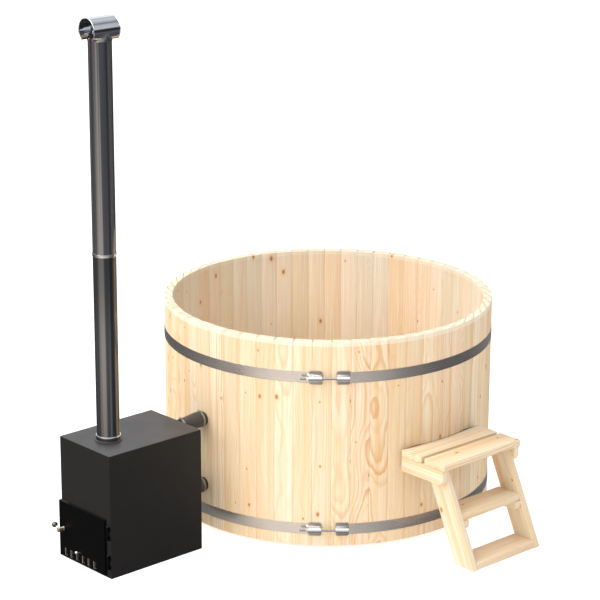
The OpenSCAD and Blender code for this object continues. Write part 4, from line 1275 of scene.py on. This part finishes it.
def tilted(d, part):
    # A part drawn along y from the lever's root, turned up about x and set in its place
    c, s = math.cos(math.radians(d["leverRise"])), math.sin(math.radians(d["leverRise"]))
    return moved(part, [[1, 0, 0], [0, c, -s], [0, s, c]], (-d["leverAt"], *d["handleAt"]))


def doorHandle(d):
    # Turned boss with a groove, spindle, end stud and the lever with its collar
    (sr, s0), (br, b0, b1), (er, e1) = d["spindle"], d["boss"], d["stud"]
    outline = [[0.01, s0], [sr, s0], [sr, b0], [br, b0], [br, b0 + 7], [br - 1, b0 + 8],
               [br - 1, b0 + 10], [br, b0 + 11], [br, b1], [er, b1], [er, e1], [0.01, e1]]
    turned = lathe(filleted(outline, [0, 0.3, 0, 1, 0.4, 0.3, 0.3, 0.4, 2, 0.5, 1, 0], 3), 48,
                   (0, *d["handleAt"]), "-x")
    r, length = d["lever"]
    collar, end = r + 1.6, length - 8
    bar = [[0.01, 2], [r, 2], [r, 13], [collar, 13], [collar, 17], [r, 17], [r, end], [0.01, end]]
    lever = lathe(filleted(bar, [0, 0, 0.3, 0.6, 0.6, 0.3, 0.5, 0], 3), 28, axis="y")
    return [turned, tilted(d, lever)]


def handleBall(d):
    # Ball of radius R: r = R cos t, h = R sin t, with a bored neck and a flat at its far end
    t = np.radians(np.linspace(-68, 80, 26))
    r, length = d["ball"], d["lever"][1]
    bore = d["lever"][0] + 0.05
    dome = np.stack([r * np.cos(t), length + r * np.sin(t)], 1)
    core = [[0.01, dome[-1, 1]], [0.01, length], [bore, length]]
    outline = np.concatenate([[[bore, length - r * 0.96]], dome, core])
    return tilted(d, lathe((outline, None), 48, axis="y"))


fitted("doorSealRope", [doorRope(doorSet)], "rope", "door_rope", "door")
fitted("draughtKnob", [airKnob(doorSet)], "chrome", "air_knob", "slider")
fitted("hingeRods", hingePins(doorSet), "black", "hinge_pins")
fitted("handleLever", doorHandle(doorSet), "brass", "door_handle", "latch")
fitted("handleKnobBall", [handleBall(doorSet)], "ball", "handle_ball", "latch")
print("stove made")


# Chimney, turned about its own line

chimney = {
    "x": -1366.0,
    "pipe": 53.0,
    "wall": 1.0,
    "room": 0.3,
    "stoveTop": 592.0,
    "collar": (55.8, 612.0),
    "ring": (56.8, 619.0),
    "joint": 1470.0,
    "spigot": (51.6, 1515.0),
    "band": (54.9, 1463.0, 1477.0),
    "top": 2442.0,
    "flueTube": (48.0, 51.0, 430.0, 600.0),
    "capAt": 2476.0,
    "cap": (56.0, 1.5, 145.0),
    "capCut": 42.0,
    "rim": 2.0,
}


def chimneySet(c):
    # Each part is an outline turned about the chimney's line. The pipes cast no shadow of the
    # lamps, and the lower one isn't seen in the hoops.
    r, w, foot, joint = c["pipe"], c["wall"], c["stoveTop"], c["joint"]
    inside = r + c["room"]
    (cr, c1), (rr, r1), (br, b0, b1), (sr, s1) = c["collar"], c["ring"], c["band"], c["spigot"]
    flange = [[inside, foot], [cr + 7, foot], [cr + 7, foot + 3], [cr, foot + 5], [cr, c1],
              [inside, c1]]
    lower = [[r - w, foot], [r, foot], [r, joint], [sr, joint + w], [sr, s1], [sr - w, s1],
             [sr - w, joint], [r - w, joint - 2 * w]]
    turned = {  # piece: (outline, steps round, finish, node)
        "flueFlange": (filleted(flange, [0, 0.5, 1, 3, 1, 0.5], 4), 96, "black", "flue_collar"),
        "chimneyFootRing": (tubeOutline(inside, rr, c1, r1, 1.6), 96, "chrome", "chimney_ring"),
        "chimneyLower": (filleted(lower, 0.3, 2), 112, "pipeLow", "lower_pipe"),
        "chimneyJointBand": (tubeOutline(inside, br, b0, b1, 0.6), 112, "chrome", "joint_band"),
        "chimneyUpper": (tubeOutline(r - w, r, joint + w + c["room"], c["top"], 0.3), 112, "pipe",
                         "upper_pipe"),
        "smokeTube": (tubeOutline(*c["flueTube"], 0.8), 72, "soot", "flue_tube"),
    }
    for name, (outline, turns, finish, node) in turned.items():
        made = fitted(name, [lathe(outline, turns, (c["x"], 0, 0))], finish, node)
        made.visible_shadow = name not in ("chimneyLower", "chimneyUpper")
        made.visible_glossy = name != "chimneyLower"


def capRims(c):
    # Wired edges of the cross tube: an arc in the plane of each open end
    r, wall, length = c["cap"]
    start = math.degrees(math.acos(c["capCut"] / r)) + 1
    a = np.radians(-90 + np.linspace(start, 360 - start, 60))
    ends = [c["x"] + side * (length / 2 - c["rim"]) for side in (-1, 1)]
    mid = r - wall / 2
    across, up = mid * np.cos(a), c["capAt"] + mid * np.sin(a)
    arcs = [np.stack([np.full(60, x), across, up], 1) for x in ends]
    return [barAlong(arc, toX, c["rim"]) for arc in arcs]


chimneySet(chimney)
fitted("capRims", capRims(chimney), "chrome")
print("chimney made")


# Steps. Distances out from the tub run to -Y.

steps = {
    "halfWide": 257.0,
    "platform": (448.0, 480.0),
    "boards": ((780.0, 908.0), (928.0, 1056.0)),
    "scribe": 800.3,
    "railOut": 1048.0,
    "railLow": 376.0,
    "railRound": 30.0,
    "board": 32.0,
    "stringerIn": 193.0,
    "foot": (1108.83, 1228.0),
    "head": (899.92, 1019.09),
    "treadOut": (985.2, 1121.2),
    "tread": (210.0, 242.0),
    "footOut": (1087.0, 1223.0),
    "cleatOut": (1009.2, 1129.2),
    "cleat": (168.0, 209.7),
    "cleatRound": 20.0,
    "soft": 3.0,
    "screwAt": (932.5, 986.5),
    "screwHigh": 412.0,
    "seeds": (3003, 3005, 3006, 3010, 3013, 3015, 3023, 3029, 3042, 3051),
}


def platformBoard(s, k):
    # The back board's edge follows the tub: y = -sqrt(R^2 - x^2) where that is further out
    inner, outer = s["boards"][k]
    half, radii = s["halfWide"], [4.0, 4.0, 2.0]
    corners = [[-half, -outer], [half, -outer], [half, -inner]]
    if inner < s["scribe"]:
        x = np.linspace(1, -1, 11) * math.sqrt(s["scribe"] ** 2 - inner ** 2)
        corners += np.stack([x, -np.sqrt(s["scribe"] ** 2 - x ** 2)], 1).tolist()
        radii += [0.0] * 11
    low, high = s["platform"]
    outline = filleted(corners + [[-half, -inner]], radii + [2.0])
    return flatBoard(outline, low, high - low, s["soft"] * 0.9, "z", toX, s["seeds"][k])


def sideBoard(s, corners, radii, x, length, seed):
    # Board on edge: its outline is in (y, z) and its thickness runs along x
    return flatBoard(filleted(corners, radii, 6), x, s["board"], s["soft"] * 0.8, "x", length,
                     s["seeds"][seed])


def stringer(s, x, seed):
    # Leaning leg: its fibres run from its foot to its head
    (f0, f1), (h0, h1) = s["foot"], s["head"]
    lean = np.array([0, f0 - h0, s["platform"][0]])
    corners = [[-f1, 0], [-f0, 0], [-h0, s["platform"][0]], [-h1, s["platform"][0]]]
    return sideBoard(s, corners, [3, 3, 2, 2], x, lean / np.linalg.norm(lean), seed)


def stepRail(s, x, seed):
    # Board under the platform's side, with its front lower corner rounded
    corners = rectangle(-s["railOut"], s["railLow"], -s["boards"][0][0], s["platform"][0])
    return sideBoard(s, corners, [s["railRound"], 3, 2, 2], x, toY, seed)


def stepCleat(s, x, seed):
    # Support under the tread, rounded in the same way
    (near, far), (low, high) = s["cleatOut"], s["cleat"]
    corners = rectangle(-far, low, -near, high)
    return sideBoard(s, corners, [s["cleatRound"], 3, 2, 2], x, toY, seed)


def crossBoard(s, out, level, seed):
    # Tread or foot board: its section in (y, z), carried along x between the stringers
    half = s["stringerIn"] - 0.3
    section = filleted(rectangle(-out[1], level[0], -out[0], level[1]), s["soft"])
    part = slab(section, -half, 2 * half, 0.6, "x")
    centre = (part[0].min(0) + part[0].max(0)) / 2
    return part, boardGrain(part[0], centre, toY, upZ, toX, s["seeds"][seed])


def screwHead(s, x, y, side):
    # Low dome, from its rim to a small recess in the middle
    outline = filleted([[0.01, 0], [5, 0], [4.6, 1.6], [2.2, 2.9], [1.6, 2.9], [1.2, 1.4],
                        [0.01, 1.4]], [0, 0.3, 1, 1, 0, 0, 0], 4)
    part = lathe(outline, 28)
    turn = np.array([[0, 0, side], [0, 1, 0], [-side, 0, 0]])
    return moved(part, turn, (x, -y, s["screwHigh"]))


def stepSet(s):
    # Left and right boards lie at equal distances from the middle
    out, thick, wide = s["stringerIn"], s["board"], s["halfWide"]
    made = {  # piece: (boards, node)
        "platformPlanks": ([platformBoard(s, k) for k in (0, 1)], "platform_boards"),
        "leftSideBoard": ([stringer(s, -out - thick, 2)], "left_stringer"),
        "rightSideBoard": ([stringer(s, out, 3)], "right_stringer"),
        "sideRails": ([stepRail(s, -wide, 4), stepRail(s, wide - thick, 5)], "platform_rails"),
        "stepTread": ([crossBoard(s, s["treadOut"], s["tread"], 6)], "tread"),
        "stepFootBoard": ([crossBoard(s, s["footOut"], (0.0, thick), 7)], "foot_board"),
        "treadSupports": ([stepCleat(s, -out, 8), stepCleat(s, out - thick, 9)], "tread_cleats"),
    }
    for name, (parts, node) in made.items():
        boards(name, parts, [node])
    screws = [screwHead(s, -side * out, y, side) for side in (-1, 1) for y in s["screwAt"]]
    fitted("screwDomes", screws, "plain", "step_screws")


stepSet(steps)
print("steps made")


# Studio

studio = {
    "floorSize": 60.0,
    "floorLow": -0.0005,
    "floorTone": (0.6, 0.6, 0.6, 1.0),
    "floorGlow": 0.68,
    "strength": 1.8,
    "front": (-0.6756, -0.7373, 0.0),
    "right": (0.7373, -0.6756, 0.0),
    # The room at the object's height and above it: degrees from the front, red, green, blue
    "around": [(-180, 0.14, 0.14, 0.15), (-140, 0.09, 0.09, 0.1), (-110, 0.12, 0.12, 0.13),
               (-86, 0.22, 0.22, 0.22), (-62, 0.5, 0.47, 0.44), (-40, 1.0, 0.93, 0.85),
               (-16, 1.0, 0.95, 0.89), (4, 0.68, 0.66, 0.64), (30, 0.52, 0.51, 0.5),
               (56, 0.22, 0.22, 0.23), (80, 0.12, 0.12, 0.13), (110, 0.11, 0.11, 0.12),
               (140, 0.16, 0.16, 0.17), (180, 0.2, 0.2, 0.21)],
    "above": [(-180, 0.7, 0.71, 0.73), (-130, 0.95, 0.95, 0.95), (-90, 1.0, 1.0, 1.0),
              (-30, 0.76, 0.76, 0.77), (20, 0.66, 0.66, 0.67), (60, 0.58, 0.59, 0.6),
              (100, 0.32, 0.33, 0.35), (140, 0.5, 0.51, 0.53), (180, 0.7, 0.71, 0.73)],
    # Where one goes over into the other, and a darkening, both by the sine of the height angle
    "riseTo": (0.04, 0.14),
    "bands": [(-1.0, 0.15), (-0.85, 0.15), (-0.6, 0.38), (-0.37, 0.5), (-0.307, 1.0),
              (-0.285, 0.46), (-0.2, 0.32), (-0.1, 0.15), (0.1, 0.15), (0.2, 1.0), (0.6, 1.0),
              (0.66, 0.6), (0.72, 0.6), (0.78, 1.0), (1.0, 1.0)],
    # Lamps: place, size, power
    "lamps": {"key": ((-7.0, 0.8, 4.9), 4.5, 255), "top": ((-2.4, -0.4, 6.8), 4.0, 150)},
    "lampAim": (0, 0, 0.5),
    "lampTint": (1.0, 0.99, 0.97),
}


def makeFloor(s):
    # A pale sheet just under the ground, with a glow that brings it to white
    half = s["floorSize"] / 2
    mesh = bpy.data.meshes.new("floor")
    corners = [(x, y, s["floorLow"]) for x, y in rectangle(-half, -half, half, half)]
    mesh.from_pydata(corners, [], [[0, 1, 2, 3]])
    floor = bpy.data.objects.new("floor", mesh)
    scene.collection.objects.link(floor)
    mesh.materials.append(newMaterial("paleFloor", lambda g: {
        "Base Color": s["floorTone"], "Roughness": 0.9, "Specular IOR Level": 0.0,
        "Emission Color": (1.0, 1.0, 1.0, 1.0), "Emission Strength": s["floorGlow"]}))
    floor.visible_glossy = False


def makeRoom(s):
    # White where the camera sees it; else the tones above, by the angle from the front,
    # atan2(way . right, way . front), and the sine of the height angle
    world = bpy.data.worlds.new("studio")
    scene.world = world
    world.use_nodes = True
    g = Graph(world.node_tree)
    way = g.node("ShaderNodeTexCoord").outputs["Generated"]
    front, right = (g.vector("DOT_PRODUCT", way, s[key]) for key in ("front", "right"))
    turn = g.linear(g.math("ARCTAN2", right, front), 0.5 / math.pi, 0.5)
    around, above = (g.ramp(turn, [(a / 360 + 0.5, (*colour, 1.0)) for a, *colour in s[key]])
                     for key in ("around", "above"))
    rise = g.split(way)[2]
    dark = g.ramp(g.remap(rise, -1.0, 1.0), [(z / 2 + 0.5, (v, v, v, 1.0)) for z, v in s["bands"]])
    tone = g.mix(g.remap(rise, *s["riseTo"], 0.0, 1.0, True), around, above)
    sky = g.node("ShaderNodeBackground")
    g.plug(sky.inputs["Color"], g.mix(1.0, tone, dark, "MULTIPLY"))
    g.plug(sky.inputs["Strength"], s["strength"])
    plain = g.node("ShaderNodeBackground")
    g.plug(plain.inputs["Color"], (1.0, 1.0, 1.0, 1.0))
    blend = g.node("ShaderNodeMixShader")
    g.plug(blend.inputs[0], g.node("ShaderNodeLightPath").outputs["Is Camera Ray"])
    g.tree.links.new(sky.outputs[0], blend.inputs[1])
    g.tree.links.new(plain.outputs[0], blend.inputs[2])
    g.tree.links.new(blend.outputs[0], g.node("ShaderNodeOutputWorld").inputs[0])


def softLamp(s, name):
    # Square lamp that looks at the aim
    place, size, power = s["lamps"][name]
    data = bpy.data.lights.new(name, "AREA")
    data.shape, data.size, data.energy, data.color = "SQUARE", size, power, s["lampTint"]
    light = bpy.data.objects.new(name, data)
    light.location = place
    light.rotation_mode = "QUATERNION"
    light.rotation_quaternion = (Vector(s["lampAim"]) - Vector(place)).to_track_quat("-Z", "Y")
    scene.collection.objects.link(light)


makeFloor(studio)
makeRoom(studio)
for name in studio["lamps"]:
    softLamp(studio, name)
scene.view_settings.view_transform = "Standard"
